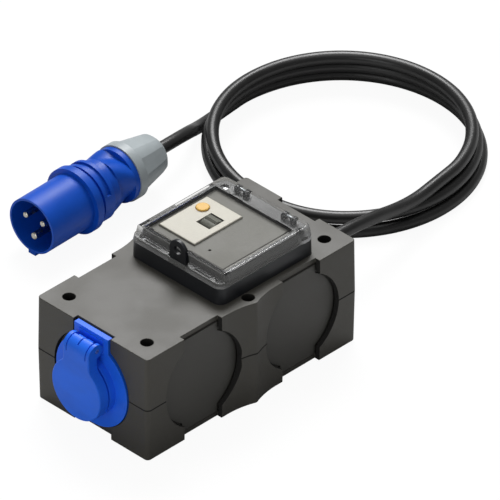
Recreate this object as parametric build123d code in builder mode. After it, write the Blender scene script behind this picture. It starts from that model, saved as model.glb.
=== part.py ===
"""Portable power box: rubber housing, socket under a flip lid, residual
current breaker under a hinged window, and a blue plug on a coiled cable.

Millimetres, +Z up. +X runs along the housing from the socket end to the
cable gland, and the origin is the centre of the housing's underside.
"""

import os
from math import atan2, cos, degrees, floor, pi, radians, sin, sqrt, tan

from build123d import *

os.makedirs("parts", exist_ok=True)

# Housing
box_length = 210.0
box_width = 112.0
box_height = 87.2
draft_angle = 1.0
corner_radius = 4.0
edge_round = 0.6
split_groove = 0.35
side_wall = 9.0
flat_wall = 6.0
cavity_corner = 3.0
boss_half_width = 24.5
boss_flank_radius = 65.4
boss_nose_radius = 4.0
overrun = 1.0
split_z = box_height / 2
half_length = box_length / 2
half_width = box_width / 2

# Housing screws and their brass inserts
shell_screw_end = 16.5
shell_screw_side = 17.0
boss_screw_side = 5.2
shell_screw_x = half_length - shell_screw_end
shell_screw_y = half_width - shell_screw_side
boss_screw_y = half_width - boss_screw_side
shell_screw_radius = 2.0
shell_screw_head_radius = 3.5
shell_screw_head_height = 3.5
counterbore_radius = 4.85
counterbore_depth = 12.0
pillar_radius = 8.6
screw_hole_gap = 0.3
insert_radius = 3.1
insert_length = 12.0
screw_point_room = 8.0

# Side pockets and the plates that close them
pocket_radius = 37.3
pocket_band = 37.2
pocket_depth = 4.4
pocket_spacing = 98.0
plate_thickness = 3.0
plate_overlap = 2.2
plate_gap = 0.1
plate_end_gap = 3.6
plate_height = box_height - 2 * plate_end_gap
plate_step_width = 1.2
plate_step_depth = 1.5
notch_depth = 5.4
inner_opening_radius = 33.0

# Socket on the front end
socket_drop = 1.6
socket_z = split_z - socket_drop
flange_radius = 35.5
flange_band = 33.8
flange_top_drop = 1.4
flange_top_z = box_height - flange_top_drop
flange_thickness = 4.5
collar_radius = 24.3
collar_length = 5.6
rim_radius = 22.0
rim_length = 8.4
well_radius = 19.6
well_depth = 18.0
well_floor = 3.0
cup_wall = 3.9
cup_hole_gap = 0.3
contact_circle = 9.5
contact_hole_radius = 2.5
contact_bore_radius = 2.2
contact_tube_radius = 3.4
core_radius = 18.0
core_length = 17.5
core_recess = 14.0
clip_width = 6.0
clip_thickness = 1.0
clip_reach = 13.0

# Socket lid and its hinge
hinge_ahead = 6.7
hinge_drop = 8.4
hinge_z = flange_top_z - hinge_drop
lid_thickness = 8.5
lid_gap = 1.4
lid_skirt_gap = 0.6
lid_floor = 5.1
lid_neck_width = 25.6
lid_top_drop = 2.8
lid_top_z = flange_top_z - lid_top_drop
lid_blend_radius = 7.0
lid_shoulder_radius = 8.8
hood_wall = 2.4
lid_hollow_drop = 14.8
lid_hollow_z = flange_top_z - lid_hollow_drop
arm_radius = 5.4
arm_inner_y = 9.9
slit_width = 0.9
hood_slot_width = 1.0
hood_slot_length = 6.5
hinge_base_half_width = 12.3
hinge_base_thickness = 0.7
hinge_base_low_drop = 13.8
hinge_base_high_drop = 2.5
hinge_base_low = flange_top_z - hinge_base_low_drop
hinge_base_high = flange_top_z - hinge_base_high_drop
knuckle_radius = 4.8
knuckle_inner_y = 0.6
knuckle_outer_y = 7.0
knuckle_room = 0.5
knuckle_web_rise = -1.0
lid_pin_radius = 1.6
pin_play = 0.05
spring_wire_radius = 0.4
lid_spring_radius = 2.5
lid_spring_pitch = 1.3
lid_spring_turns = 1
seal_thickness = 1.8
seal_width = 2.4
seal_gap = 0.2
lid_edge_round = 1.0

# Cable gland on the rear end
gland_rise = 1.4
gland_z = split_z + gland_rise
gland_thread_radius = 10.0
gland_bore_radius = 7.0
gland_hex_width = 24.0
gland_hex_length = 6.0
gland_nose_radius = 9.0
gland_nose_length = 7.0
gland_inner_length = 7.6
locknut_width = 26.0
locknut_length = 4.0
cap_nut_radius = 12.4
cap_nut_length = 15.6
cap_mouth_radius = 5.4
cap_dome_radius = 4.0
cap_wall = 2.2

# Window frame on the top face
window_x = 25.25
window_length = 95.5
window_width = 91.4
window_corner = 7.0
window_front_x = window_x - window_length / 2
window_rear_x = window_x + window_length / 2
frame_height = 13.3
frame_top_z = box_height + frame_height
frame_draft = 1.5
frame_rear_drop = 1.0
frame_rear_step = 12.0
frame_rear_x = window_rear_x - frame_rear_step
opening_front = 14.0
opening_rear = 17.1
opening_side = 8.5
shell_opening_side = 6.7
opening_x = window_x + (opening_front - opening_rear) / 2
opening_length = window_length - opening_front - opening_rear
opening_width = window_width - 2 * opening_side
shell_opening_width = window_width - 2 * shell_opening_side
sill_height = 1.3
sill_front = 7.5
sill_rear = 13.0
sill_side = 3.2
sill_x = window_x + (sill_front - sill_rear) / 2
sill_length = window_length - sill_front - sill_rear
sill_width = window_width - 2 * sill_side
sill_corner = 4.0
surround_front = 10.1
surround_rear = 13.4
surround_side = 4.1
surround_x = window_x + (surround_front - surround_rear) / 2
surround_length = window_length - surround_front - surround_rear
surround_width = window_width - 2 * surround_side
surround_height = 6.6
surround_corner = 4.0
surround_end_wall = 1.8
surround_side_wall = 2.6
window_seal_width = 0.9
window_seal_height = 1.0
frame_screw_end = 7.55
frame_screw_side = 7.7
frame_screw_x = window_length / 2 - frame_screw_end
frame_screw_y = window_width / 2 - frame_screw_side
frame_screw_radius = 1.75
frame_screw_head_radius = 3.2
frame_screw_head_height = 2.4
frame_screw_head_room = 8.0
eye_front = 4.3
eye_x = window_front_x + eye_front
eye_thickness = 2.6
eye_radius = 8.0
eye_hole_radius = 3.5
eye_rise = 11.5
eye_z = frame_top_z + eye_rise

# Clear cover over the breaker and its hinge
cover_gap = 0.3
cover_rise = 10.5
cover_top_z = frame_top_z + cover_rise
cover_taper = 11.0
cover_wall = 2.0
cover_edge_round = 2.0
step_length = 6.5
step_rise = 4.3
skirt_rear_length = 13.0
skirt_rear_rise = 2.0
cover_hinge_inset = 4.0
cover_hinge_rise = 5.5
step_x = window_front_x + step_length
step_z = frame_top_z + step_rise
skirt_rear_x = window_rear_x - skirt_rear_length
skirt_rear_z = frame_top_z + skirt_rear_rise
cover_hinge_x = window_rear_x - cover_hinge_inset
cover_hinge_z = frame_top_z + cover_hinge_rise
cover_hinge_spacing = 46.8
lug_radius = 2.8
lug_stem_rear = 1.2
lug_inner = 3.0
lug_outer = 6.0
lug_room = 0.3
cover_pin_radius = 1.5
cover_pin_length = 12.0
eye_slot_front = 3.0
eye_slot_side = 0.6
pane_groove_width = 1.2
pane_groove_depth = 0.7
pane_front = 9.0
pane_rear = 16.0
pane_side = 7.2
pane_front_x = window_front_x + pane_front
pane_rear_x = window_rear_x - pane_rear
pane_half_width = window_width / 2 - pane_side
latch_slot_length = 16.0
latch_slot_width = 1.6
latch_slot_y = 25.0

# Device plate and mounting rail
device_plate_thickness = 1.7
device_plate_front = 12.3
device_plate_rear = 15.6
device_plate_side = 7.1
device_plate_length = window_length - device_plate_front - device_plate_rear
device_plate_x = window_x + (device_plate_front - device_plate_rear) / 2
device_plate_width = window_width - 2 * device_plate_side
device_plate_corner = 1.6
nose_gap = 0.4
clip_hole_radius = 1.1
clip_hole_behind = 20.3
clip_hole_aside = 29.4
nose_rise = 5.7
breaker_height = 68.0
breaker_top_z = frame_top_z + nose_rise
rail_z = breaker_top_z - breaker_height
rail_width = 35.0
rail_web_width = 27.0
rail_depth = 7.5
rail_sheet = 1.0
rail_end_gap = 14.0
rail_length = box_width - 2 * rail_end_gap
rail_post_end = 5.0
rail_post_y = rail_length / 2 - rail_post_end
rail_post_radius = 5.0
rail_screw_radius = 2.0
rail_screw_head_radius = 3.8
rail_screw_head_height = 2.4
rail_screw_length = 14.0

# Residual current breaker
breaker_x = 21.5
breaker_side_gap = 1.4
breaker_width = 35.6
breaker_y = (opening_width - breaker_width) / 2 - breaker_side_gap
breaker_length = 85.0
breaker_nose_length = 48.0
shoulder_gap = 0.3
base_height = 23.8
case_wall = 1.6
rail_slot_gap = 0.3
foot_grip = 1.2
foot_depth = 5.0
foot_length = 20.0
nose_round = 0.8
terminal_x = 33.2
terminal_y = 8.9
terminal_hole_radius = 3.4
terminal_length = 11.0
terminal_width = 12.0
terminal_height = 12.0
terminal_lift = 2.0
terminal_screw_radius = 2.0
terminal_screw_head_radius = 3.0
terminal_screw_head_height = 2.4
terminal_screw_length = 8.0
terminal_post_radius = 4.0
wire_entry_width = 7.0
clip_hole_x = breaker_x - clip_hole_behind
clip_hole_y = breaker_y - clip_hole_aside

# Toggle, test button and trip parts
toggle_ahead = 3.9
toggle_aside = 5.7
toggle_axis_drop = 6.7
toggle_x = breaker_x + toggle_ahead
toggle_y = breaker_y - toggle_aside
toggle_axis_z = breaker_top_z - toggle_axis_drop
toggle_recess_length = 15.3
toggle_recess_width = 13.3
toggle_barrel_radius = 6.2
toggle_reach = 8.6
toggle_tilt = 27.0
toggle_tip_width = 5.0
toggle_root_width = 8.0
toggle_side_gap = 0.8
toggle_pin_radius = 1.5
bearing_thickness = 1.6
button_ahead = 12.0
button_aside = 10.0
button_x = breaker_x + button_ahead
button_y = breaker_y + button_aside
button_radius = 5.0
button_hole_gap = 0.3
button_rise = 2.2
button_top_z = breaker_top_z + button_rise
button_flange = 1.2
button_flange_height = 1.6
button_stem_radius = 1.4
button_stem_length = 7.0
button_spring_radius = 2.6
button_spring_turns = 4
button_seat_height = 2.0
button_spring_length = 6.2
toroid_behind = 17.9
toroid_x = breaker_x - toroid_behind
toroid_radius = 12.5
toroid_bore = 6.5
toroid_height = 11.0
relay_ahead = 22.5
relay_x = breaker_x + relay_ahead
relay_length = 12.0
relay_width = 20.0
relay_height = 18.0
bridge_drop = 20.0
bridge_length = 10.0
bridge_shaft_radius = 1.5
bridge_bearing = 2.0
bridge_shaft_reach = 3.0
bridge_pad_radius = 1.8
bridge_pad_height = 1.0
bridge_thickness = 2.5
bridge_boss_radius = 3.0
bridge_width = 20.0
contact_gap = 0.3
contact_spacing = 12.0
contact_width = 5.0
contact_strip = 1.2
rail_clip_length = 24.0
rail_clip_width = 12.0
rail_clip_thickness = 2.0

# Plug
plug_x = 12.5
plug_y = 181.4
plug_turn = 1.7
plug_collar_radius = 26.1
sleeve_radius = 22.0
sleeve_bore = 20.3
sleeve_length = 42.6
sleeve_depth = 40.0
key_width = 7.0
key_reach = 24.5
collar_end = 48.7
neck_groove_radius = 22.5
ring_start = 52.5
ring_radius = 23.9
ring_end = 63.0
throat_radius = 20.8
throat_end = 71.5
ring_slot_width = 4.2
ring_slot_depth = 1.8
ring_slot_angle = 70.0
plug_pin_circle = 9.8
line_pin_angles = (30.0, 150.0)
earth_pin_angle = 270.0
line_pin_radius = 2.5
earth_pin_radius = 3.0
pin_setback = 1.8
pin_root = 52.0
pin_tip_round = 1.2
carrier_start = 40.0
carrier_end = 56.0
plug_bore = 18.0
grip_start = 71.5
grip_end = 86.5
grip_disc_end = 91.2
grip_core_radius = 17.2
grip_lobe = 5.2
grip_lobes = 3
grip_twist = 38.0
grip_stations = 5
grip_points = 12
grip_disc_radius = 21.5
grip_bore = 9.0
nut_band_radius = 22.7
nut_band_end = 98.5
nut_end = 128.0
nut_tip_radius = 16.0
nut_facet_count = 6
nut_flat_start = 20.4
nut_flat_end = 14.8
nut_round = 2.5
nut_taper_start = 21.4
nut_bore = 16.8
nut_bore_depth = 18.0
nut_mouth_radius = 5.3

# Cable
cable_radius = 4.9
coil_x = 259.4
coil_y = 109.3
coil_radius = 102.0
coil_turn_inset = 3.4
coil_layer_step = 9.8
coil_start_angle = -6.0
coil_end_angle = 891.0
climb_start = 240.0
climb_end = 330.0
coil_stations = (80.0, 160.0, 240.0, 330.0)
station_spacing = 15.0
plug_run = 33.0
coil_start_run = 31.0
gland_run = 40.0
coil_end_run = 40.0
bend_share = 0.45
gap_samples = 500
gap_skip_diameters = 4

front_x = -half_length
rear_x = half_length
plate_back = pocket_depth + 2 * plate_gap + plate_thickness


def end_plane(x):
    """Upright plane across the length, facing the socket end."""
    return Plane(origin=(x, 0, 0), x_dir=(0, -1, 0), z_dir=(-1, 0, 0))


def rear_plane(x):
    """Upright plane across the length, facing the cable end."""
    return Plane(origin=(x, 0, 0), x_dir=(0, 1, 0), z_dir=(1, 0, 0))


def long_plane(y):
    """Upright plane along the length, seen from the near side."""
    return Plane(origin=(0, y, 0), x_dir=(1, 0, 0), z_dir=(0, -1, 0))


front_face = Plane(origin=(front_x, 0, split_z), x_dir=(0, -1, 0), z_dir=(-1, 0, 0))
rear_face = Plane(origin=(rear_x, 0, split_z), x_dir=(0, 1, 0), z_dir=(1, 0, 0))
near_front_face = Plane(
    origin=(-pocket_spacing / 2, -half_width, split_z), x_dir=(1, 0, 0), z_dir=(0, -1, 0)
)
near_rear_face = Plane(
    origin=(pocket_spacing / 2, -half_width, split_z), x_dir=(1, 0, 0), z_dir=(0, -1, 0)
)
far_front_face = Plane(
    origin=(-pocket_spacing / 2, half_width, split_z), x_dir=(-1, 0, 0), z_dir=(0, 1, 0)
)
far_rear_face = Plane(
    origin=(pocket_spacing / 2, half_width, split_z), x_dir=(-1, 0, 0), z_dir=(0, 1, 0)
)
pocket_faces = [
    front_face, rear_face, near_front_face, near_rear_face, far_front_face, far_rear_face
]
shell_screw_places = [
    (sx * shell_screw_x, sy * shell_screw_y) for sx in (-1, 1) for sy in (-1, 1)
]
shell_screw_places += [(0, -boss_screw_y), (0, boss_screw_y)]


def pocket_outline(grow, half_height):
    """Round pocket with an upright band through it, its edge moved out."""
    Circle(pocket_radius + grow)
    Rectangle(pocket_band + 2 * grow, 2 * half_height)


def half_block(plane):
    """Drafted half of the housing, drawn outward from the split."""
    nose_y = half_width + boss_flank_radius - sqrt(boss_flank_radius**2 - boss_half_width**2)
    with BuildPart() as block:
        with BuildSketch(plane) as outline:
            RectangleRounded(box_length, box_width, corner_radius)
            for side in (-1, 1):
                with BuildLine():
                    Polyline(
                        (boss_half_width, side * half_width),
                        (boss_half_width, side * (half_width - side_wall)),
                        (-boss_half_width, side * (half_width - side_wall)),
                        (-boss_half_width, side * half_width),
                    )
                    nose = (0, side * nose_y)
                    TangentArc((-boss_half_width, side * half_width), nose, tangent=(1, 0))
                    TangentArc((boss_half_width, side * half_width), nose, tangent=(-1, 0))
                make_face()
            noses = outline.vertices().filter_by(lambda v: abs(v.X) < 0.01)
            fillet(noses, boss_nose_radius)
        extrude(amount=split_z, taper=draft_angle)
        ends = block.faces().sort_by(Axis(plane.origin, plane.z_dir))
        fillet(ends[-1].edges(), edge_round)
        chamfer(ends[0].edges(), split_groove)
    return block.part


def pocket_cutter(face):
    """Everything that one side pocket takes out of the housing wall."""
    with BuildPart() as cutter:
        with BuildSketch(face.offset(-pocket_depth)):
            pocket_outline(0, split_z + overrun)
        extrude(amount=pocket_depth + overrun)
        with BuildSketch(face.offset(-plate_back)):
            pocket_outline(plate_overlap, plate_height / 2 + plate_gap)
        extrude(amount=plate_thickness + 2 * plate_gap)
        notch_height = split_z - plate_height / 2
        with BuildSketch(face.offset(-notch_depth)):
            for side in (-1, 1):
                with Locations((0, side * (plate_height / 2 + notch_height / 2 + overrun))):
                    Rectangle(pocket_band, notch_height + 2 * overrun - 2 * plate_gap)
        extrude(amount=notch_depth + overrun)
        with BuildSketch(face.offset(-side_wall - overrun)):
            Circle(inner_opening_radius)
        extrude(amount=side_wall)
    return cutter.part


def plate_sketch(face, hole_radius=0.0, hole_z=0.0, step=0.0):
    """Outline of a plate in a pocket's groove, or of the panel that stands on it."""
    with BuildSketch(face.offset(plate_gap - plate_back)) as outline:
        pocket_outline(-step if step else plate_overlap - plate_gap, plate_height / 2 - step)
        if hole_radius:
            with Locations((0, hole_z - split_z)):
                Circle(hole_radius, mode=Mode.SUBTRACT)
    return outline.sketch


def wound_wire(points, directions, radius, lead):
    """One unbroken tube through stations, two tangent arcs a stretch."""
    first = points[0] - directions[0] * lead
    with BuildPart() as wire:
        with BuildLine() as winding:
            if lead:
                Line(first, points[0])
            for i in range(len(points) - 1):
                chord = points[i + 1] - points[i]
                along = chord.dot(directions[i] + directions[i + 1])
                spread = 2 * (1 - directions[i].dot(directions[i + 1])) * chord.dot(chord)
                reach = chord.dot(chord) / (along + sqrt(along**2 + spread))
                knee_in = points[i] + directions[i] * reach
                knee_out = points[i + 1] - directions[i + 1] * reach
                joint = (knee_in + knee_out) * 0.5
                TangentArc(points[i], joint, tangent=directions[i])
                TangentArc(joint, points[i + 1], tangent=knee_out - knee_in)
            if lead:
                Line(points[-1], points[-1] + directions[-1] * lead)
        with BuildSketch(Plane(origin=first, z_dir=directions[0])):
            Circle(radius)
        sweep(path=winding.wires()[0])
    return wire.part, winding.wires()[0]


def helix_stations(plane, radius, pitch, turns):
    """Quarter-turn stations of a helix about a plane's normal."""
    points = []
    directions = []
    for i in range(4 * turns + 1):
        angle = i * pi / 2
        spot = Vector(radius * cos(angle), radius * sin(angle), pitch * i / 4)
        way = Vector(-radius * sin(angle), radius * cos(angle), pitch / (2 * pi))
        points.append(plane.from_local_coords(spot))
        directions.append((plane.from_local_coords(spot + way) - points[-1]).normalized())
    return points, directions


def screw_group(places, plane, radius, length, head_radius, head_height):
    """Pan head screws side by side, heads on the plane, shanks below it."""
    with BuildPart() as screws:
        with BuildSketch(plane):
            with Locations(places):
                Circle(radius)
        extrude(amount=-length)
        with BuildSketch(plane):
            with Locations(places):
                Circle(head_radius)
        extrude(amount=head_height)
    return screws.part


# Housing shells
upper_block = half_block(Plane.XY.offset(split_z))
lower_block = half_block(Plane(origin=(0, 0, split_z), x_dir=(1, 0, 0), z_dir=(0, 0, -1)))
pocket_cutters = [pocket_cutter(face) for face in pocket_faces]
cavity_length = box_length - 2 * side_wall
cavity_width = box_width - 2 * side_wall
ceiling_z = box_height - flat_wall
head_seat_z = box_height - counterbore_depth
rail_floor_z = rail_z - rail_depth
rail_post_places = [(breaker_x, -rail_post_y), (breaker_x, rail_post_y)]
frame_screw_places = [
    (window_x + sx * frame_screw_x, sy * frame_screw_y) for sx in (-1, 1) for sy in (-1, 1)
]

with BuildPart() as top_shell:
    add(upper_block)
    with BuildSketch(Plane.XY.offset(split_z)):
        RectangleRounded(cavity_length, cavity_width, cavity_corner)
    extrude(amount=ceiling_z - split_z, mode=Mode.SUBTRACT)
    with BuildSketch(Plane.XY.offset(split_z)):
        with Locations(shell_screw_places):
            Circle(pillar_radius)
    extrude(amount=ceiling_z - split_z)
    add(pocket_cutters, mode=Mode.SUBTRACT)
    with Locations([(x, y, box_height) for x, y in shell_screw_places]):
        CounterBoreHole(
            shell_screw_radius + screw_hole_gap, counterbore_radius, counterbore_depth
        )
    with BuildSketch(Plane.XY.offset(ceiling_z)):
        with Locations((opening_x, 0)):
            Rectangle(opening_length, shell_opening_width)
    extrude(amount=flat_wall, mode=Mode.SUBTRACT)
    with BuildSketch(Plane.XY.offset(ceiling_z)):
        with Locations(frame_screw_places):
            Circle(frame_screw_radius)
    extrude(amount=flat_wall, mode=Mode.SUBTRACT)
top_shell.part.label = "top_shell"
export_step(top_shell.part, "parts/top_shell.step")

with BuildPart() as bottom_shell:
    add(lower_block)
    with BuildSketch(Plane.XY.offset(flat_wall)):
        RectangleRounded(cavity_length, cavity_width, cavity_corner)
    extrude(amount=split_z - flat_wall, mode=Mode.SUBTRACT)
    with BuildSketch(Plane.XY.offset(flat_wall)):
        with Locations(shell_screw_places):
            Circle(pillar_radius)
    extrude(amount=split_z - flat_wall)
    with BuildSketch(Plane.XY.offset(flat_wall)):
        with Locations(rail_post_places):
            Circle(rail_post_radius)
    extrude(amount=rail_floor_z - flat_wall)
    add(pocket_cutters, mode=Mode.SUBTRACT)
    with BuildSketch(Plane.XY.offset(split_z)):
        with Locations(shell_screw_places):
            Circle(insert_radius)
    extrude(amount=-insert_length, mode=Mode.SUBTRACT)
    with BuildSketch(Plane.XY.offset(split_z - insert_length)):
        with Locations(shell_screw_places):
            Circle(shell_screw_radius + screw_hole_gap)
    extrude(amount=-screw_point_room, mode=Mode.SUBTRACT)
    with BuildSketch(Plane.XY.offset(rail_floor_z)):
        with Locations(rail_post_places):
            Circle(rail_screw_radius)
    extrude(amount=-rail_screw_length, mode=Mode.SUBTRACT)
bottom_shell.part.label = "bottom_shell"
export_step(bottom_shell.part, "parts/bottom_shell.step")

with BuildPart() as shell_screws:
    add(
        screw_group(
            shell_screw_places,
            Plane.XY.offset(head_seat_z),
            shell_screw_radius,
            head_seat_z - split_z + insert_length,
            shell_screw_head_radius,
            shell_screw_head_height,
        )
    )
shell_screws.part.label = "shell_screws"
export_step(shell_screws.part, "parts/shell_screws.step")

with BuildPart() as screw_inserts:
    with BuildSketch(Plane.XY.offset(split_z)):
        with Locations(shell_screw_places):
            Circle(insert_radius)
            Circle(shell_screw_radius, mode=Mode.SUBTRACT)
    extrude(amount=-insert_length)
screw_inserts.part.label = "screw_inserts"
export_step(screw_inserts.part, "parts/screw_inserts.step")

# Blank plates of the four side pockets
blank_faces = {
    "blank_plate_near_front": near_front_face,
    "blank_plate_near_rear": near_rear_face,
    "blank_plate_far_front": far_front_face,
    "blank_plate_far_rear": far_rear_face,
}
for name, face in blank_faces.items():
    with BuildPart() as blank_plate:
        extrude(plate_sketch(face), amount=plate_thickness - plate_step_depth)
        extrude(plate_sketch(face, step=plate_step_width), amount=plate_thickness)
    blank_plate.part.label = name
    export_step(blank_plate.part, f"parts/{name}.step")

# Socket: carrier plate, flange with well and hinge knuckles, contacts
plate_front_x = front_x + pocket_depth + plate_gap
flange_back_x = plate_front_x
flange_front_x = flange_back_x - flange_thickness
collar_front_x = flange_front_x - collar_length
rim_front_x = flange_front_x - rim_length
well_bottom_x = rim_front_x + well_depth
cup_back_x = well_bottom_x + well_floor
cup_radius = well_radius + cup_wall
lid_hinge_x = flange_front_x - hinge_ahead
clip_z = sqrt(well_radius**2 - (clip_width / 2) ** 2) - clip_thickness / 2
contact_places = [(-contact_circle, socket_z), (contact_circle, socket_z)]

with BuildPart() as socket_carrier:
    extrude(
        plate_sketch(front_face, cup_radius + cup_hole_gap, socket_z), amount=plate_thickness
    )
socket_carrier.part.label = "socket_carrier"
export_step(socket_carrier.part, "parts/socket_carrier.step")

with BuildPart() as socket_flange:
    with BuildSketch(end_plane(flange_back_x)):
        with Locations((0, socket_z)):
            Circle(flange_radius)
        with Locations((0, (socket_z + flange_top_z) / 2)):
            Rectangle(flange_band, flange_top_z - socket_z)
    extrude(amount=flange_thickness)
    with BuildSketch(end_plane(flange_front_x)):
        with Locations((0, socket_z)):
            Circle(collar_radius)
    extrude(amount=collar_length)
    with BuildSketch(end_plane(flange_front_x)):
        with Locations((0, socket_z)):
            Circle(rim_radius)
    extrude(amount=rim_length)
    with BuildSketch(end_plane(cup_back_x)):
        with Locations((0, socket_z)):
            Circle(cup_radius)
    extrude(amount=cup_back_x - flange_back_x)
    with BuildSketch(end_plane(flange_front_x)):
        with Locations((0, (hinge_base_low + hinge_base_high) / 2)):
            Rectangle(2 * hinge_base_half_width, hinge_base_high - hinge_base_low)
    extrude(amount=hinge_base_thickness)
    with BuildSketch(long_plane(knuckle_outer_y)):
        with Locations((lid_hinge_x, hinge_z)):
            Circle(knuckle_radius)
        with Locations(
            (
                (lid_hinge_x + flange_front_x) / 2,
                hinge_z + (knuckle_web_rise - knuckle_radius) / 2,
            )
        ):
            Rectangle(hinge_ahead, knuckle_radius + knuckle_web_rise)
    extrude(amount=2 * knuckle_outer_y)
    with BuildSketch(long_plane(knuckle_inner_y)):
        with Locations((lid_hinge_x - knuckle_radius / 2 - overrun, hinge_z)):
            Rectangle(
                3 * knuckle_radius + 2 * overrun, 2 * knuckle_radius + 2 * overrun
            )
    extrude(amount=2 * knuckle_inner_y, mode=Mode.SUBTRACT)
    with BuildSketch(long_plane(hinge_base_half_width)):
        with Locations((lid_hinge_x, hinge_z)):
            Circle(lid_pin_radius + pin_play)
    extrude(amount=2 * hinge_base_half_width, mode=Mode.SUBTRACT)
    with BuildSketch(end_plane(well_bottom_x)):
        with Locations((0, socket_z)):
            Circle(well_radius)
    extrude(amount=well_depth, mode=Mode.SUBTRACT)
    with BuildSketch(end_plane(cup_back_x)):
        with Locations(contact_places):
            Circle(contact_hole_radius)
    extrude(amount=well_floor, mode=Mode.SUBTRACT)
    for side in (-1, 1):
        with BuildSketch(end_plane(cup_back_x)):
            with Locations((0, socket_z + side * clip_z)):
                Rectangle(clip_width, clip_thickness)
        extrude(amount=well_floor, mode=Mode.SUBTRACT)
socket_flange.part.label = "socket_flange"
export_step(socket_flange.part, "parts/socket_flange.step")

with BuildPart() as socket_core:
    with BuildSketch(end_plane(cup_back_x + core_length)):
        with Locations((0, socket_z)):
            Circle(core_radius)
        with Locations(contact_places):
            Circle(contact_tube_radius, mode=Mode.SUBTRACT)
    extrude(amount=core_length)
socket_core.part.label = "socket_core"
export_step(socket_core.part, "parts/socket_core.step")

with BuildPart() as line_contacts:
    with BuildSketch(end_plane(cup_back_x + core_length)):
        with Locations(contact_places):
            Circle(contact_tube_radius)
    extrude(amount=core_length)
    with BuildSketch(end_plane(cup_back_x + core_length - core_recess)):
        with Locations(contact_places):
            Circle(contact_bore_radius)
    extrude(amount=core_recess, mode=Mode.SUBTRACT)
line_contacts.part.label = "line_contacts"
export_step(line_contacts.part, "parts/line_contacts.step")

with BuildPart() as earth_clip:
    with BuildSketch(end_plane(cup_back_x)):
        for side in (-1, 1):
            with Locations((0, socket_z + side * clip_z)):
                Rectangle(clip_width, clip_thickness)
    extrude(amount=clip_reach)
    with BuildSketch(end_plane(cup_back_x)):
        for side in (-1, 1):
            with Locations((0, socket_z + side * clip_z)):
                Rectangle(clip_width, clip_thickness)
    extrude(amount=-core_length - clip_thickness)
    with BuildSketch(end_plane(cup_back_x + core_length)):
        with Locations((0, socket_z)):
            Rectangle(clip_width, 2 * clip_z + clip_thickness)
    extrude(amount=-clip_thickness)
earth_clip.part.label = "earth_clip"
export_step(earth_clip.part, "parts/earth_clip.step")

# Socket lid
lid_back_x = collar_front_x - lid_gap
lid_front_x = lid_back_x - lid_thickness
skirt_radius = rim_radius + lid_skirt_gap
lid_recess = lid_thickness - lid_floor
shoulder_z = lid_top_z - lid_shoulder_radius
shoulder_x = lid_front_x + lid_shoulder_radius

with BuildPart() as socket_lid:
    with BuildSketch(end_plane(shoulder_x)) as lid_face:
        with Locations((0, socket_z)):
            Circle(collar_radius)
        with Locations((0, (socket_z + lid_top_z) / 2)):
            Rectangle(lid_neck_width, lid_top_z - socket_z)
        waist = lid_face.vertices().filter_by(lambda v: 0 < v.Y - socket_z < collar_radius)
        fillet(waist, lid_blend_radius)
    extrude(amount=lid_shoulder_radius)
    front = socket_lid.faces().sort_by(Axis.X)[0]
    fillet(front.edges().filter_by(lambda e: e.center().Z < shoulder_z), lid_edge_round)
    with BuildSketch(long_plane(collar_radius)):
        with BuildLine():
            Polyline(
                (shoulder_x, lid_top_z),
                (shoulder_x, lid_hollow_z),
                (lid_back_x, lid_hollow_z),
                (lid_back_x, socket_z - collar_radius),
                (lid_front_x, socket_z - collar_radius),
                (lid_front_x, shoulder_z),
            )
            TangentArc((lid_front_x, shoulder_z), (shoulder_x, lid_top_z), tangent=(0, 1))
        make_face()
    extrude(amount=2 * collar_radius, mode=Mode.INTERSECT)
    inner_radius = lid_shoulder_radius - hood_wall
    with BuildSketch(long_plane(arm_inner_y)):
        with BuildLine():
            Polyline(
                (shoulder_x, shoulder_z + inner_radius),
                (shoulder_x, lid_hollow_z),
                (shoulder_x - inner_radius, lid_hollow_z),
                (shoulder_x - inner_radius, shoulder_z),
            )
            TangentArc(
                (shoulder_x - inner_radius, shoulder_z),
                (shoulder_x, shoulder_z + inner_radius),
                tangent=(0, 1),
            )
        make_face()
    extrude(amount=2 * arm_inner_y, mode=Mode.SUBTRACT)
    with BuildSketch(long_plane(knuckle_outer_y + knuckle_room)):
        with Locations((lid_hinge_x, hinge_z)):
            Circle(knuckle_radius + knuckle_room)
    extrude(amount=2 * (knuckle_outer_y + knuckle_room), mode=Mode.SUBTRACT)
    for start_y in (arm_inner_y, slit_width - arm_inner_y):
        with BuildSketch(long_plane(start_y)):
            with Locations(((lid_front_x + shoulder_x) / 2, lid_top_z)):
                Rectangle(lid_thickness + 2 * overrun, 2 * (lid_top_z - hinge_base_low))
        extrude(amount=slit_width, mode=Mode.SUBTRACT)
    with BuildSketch(Plane.XY.offset(hinge_z)):
        with Locations((shoulder_x - hood_slot_length / 2, 0)):
            Rectangle(hood_slot_length, hood_slot_width)
    extrude(amount=lid_top_z - hinge_z + overrun, mode=Mode.SUBTRACT)
    for start_y in (lid_neck_width / 2, -arm_inner_y):
        with BuildSketch(long_plane(start_y)):
            with Locations((lid_hinge_x, hinge_z)):
                Circle(arm_radius)
        extrude(amount=lid_neck_width / 2 - arm_inner_y)
    with BuildSketch(long_plane(lid_neck_width / 2)):
        with Locations((lid_hinge_x, hinge_z)):
            Circle(lid_pin_radius)
    extrude(amount=lid_neck_width, mode=Mode.SUBTRACT)
    with BuildSketch(end_plane(lid_back_x)):
        with Locations((0, socket_z)):
            Circle(skirt_radius)
    extrude(amount=lid_recess, mode=Mode.SUBTRACT)
socket_lid.part.label = "socket_lid"
export_step(socket_lid.part, "parts/socket_lid.step")

with BuildPart() as lid_pin:
    with BuildSketch(long_plane(lid_neck_width / 2)):
        with Locations((lid_hinge_x, hinge_z)):
            Circle(lid_pin_radius)
    extrude(amount=lid_neck_width)
lid_pin.part.label = "lid_pin"
export_step(lid_pin.part, "parts/lid_pin.step")

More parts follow.
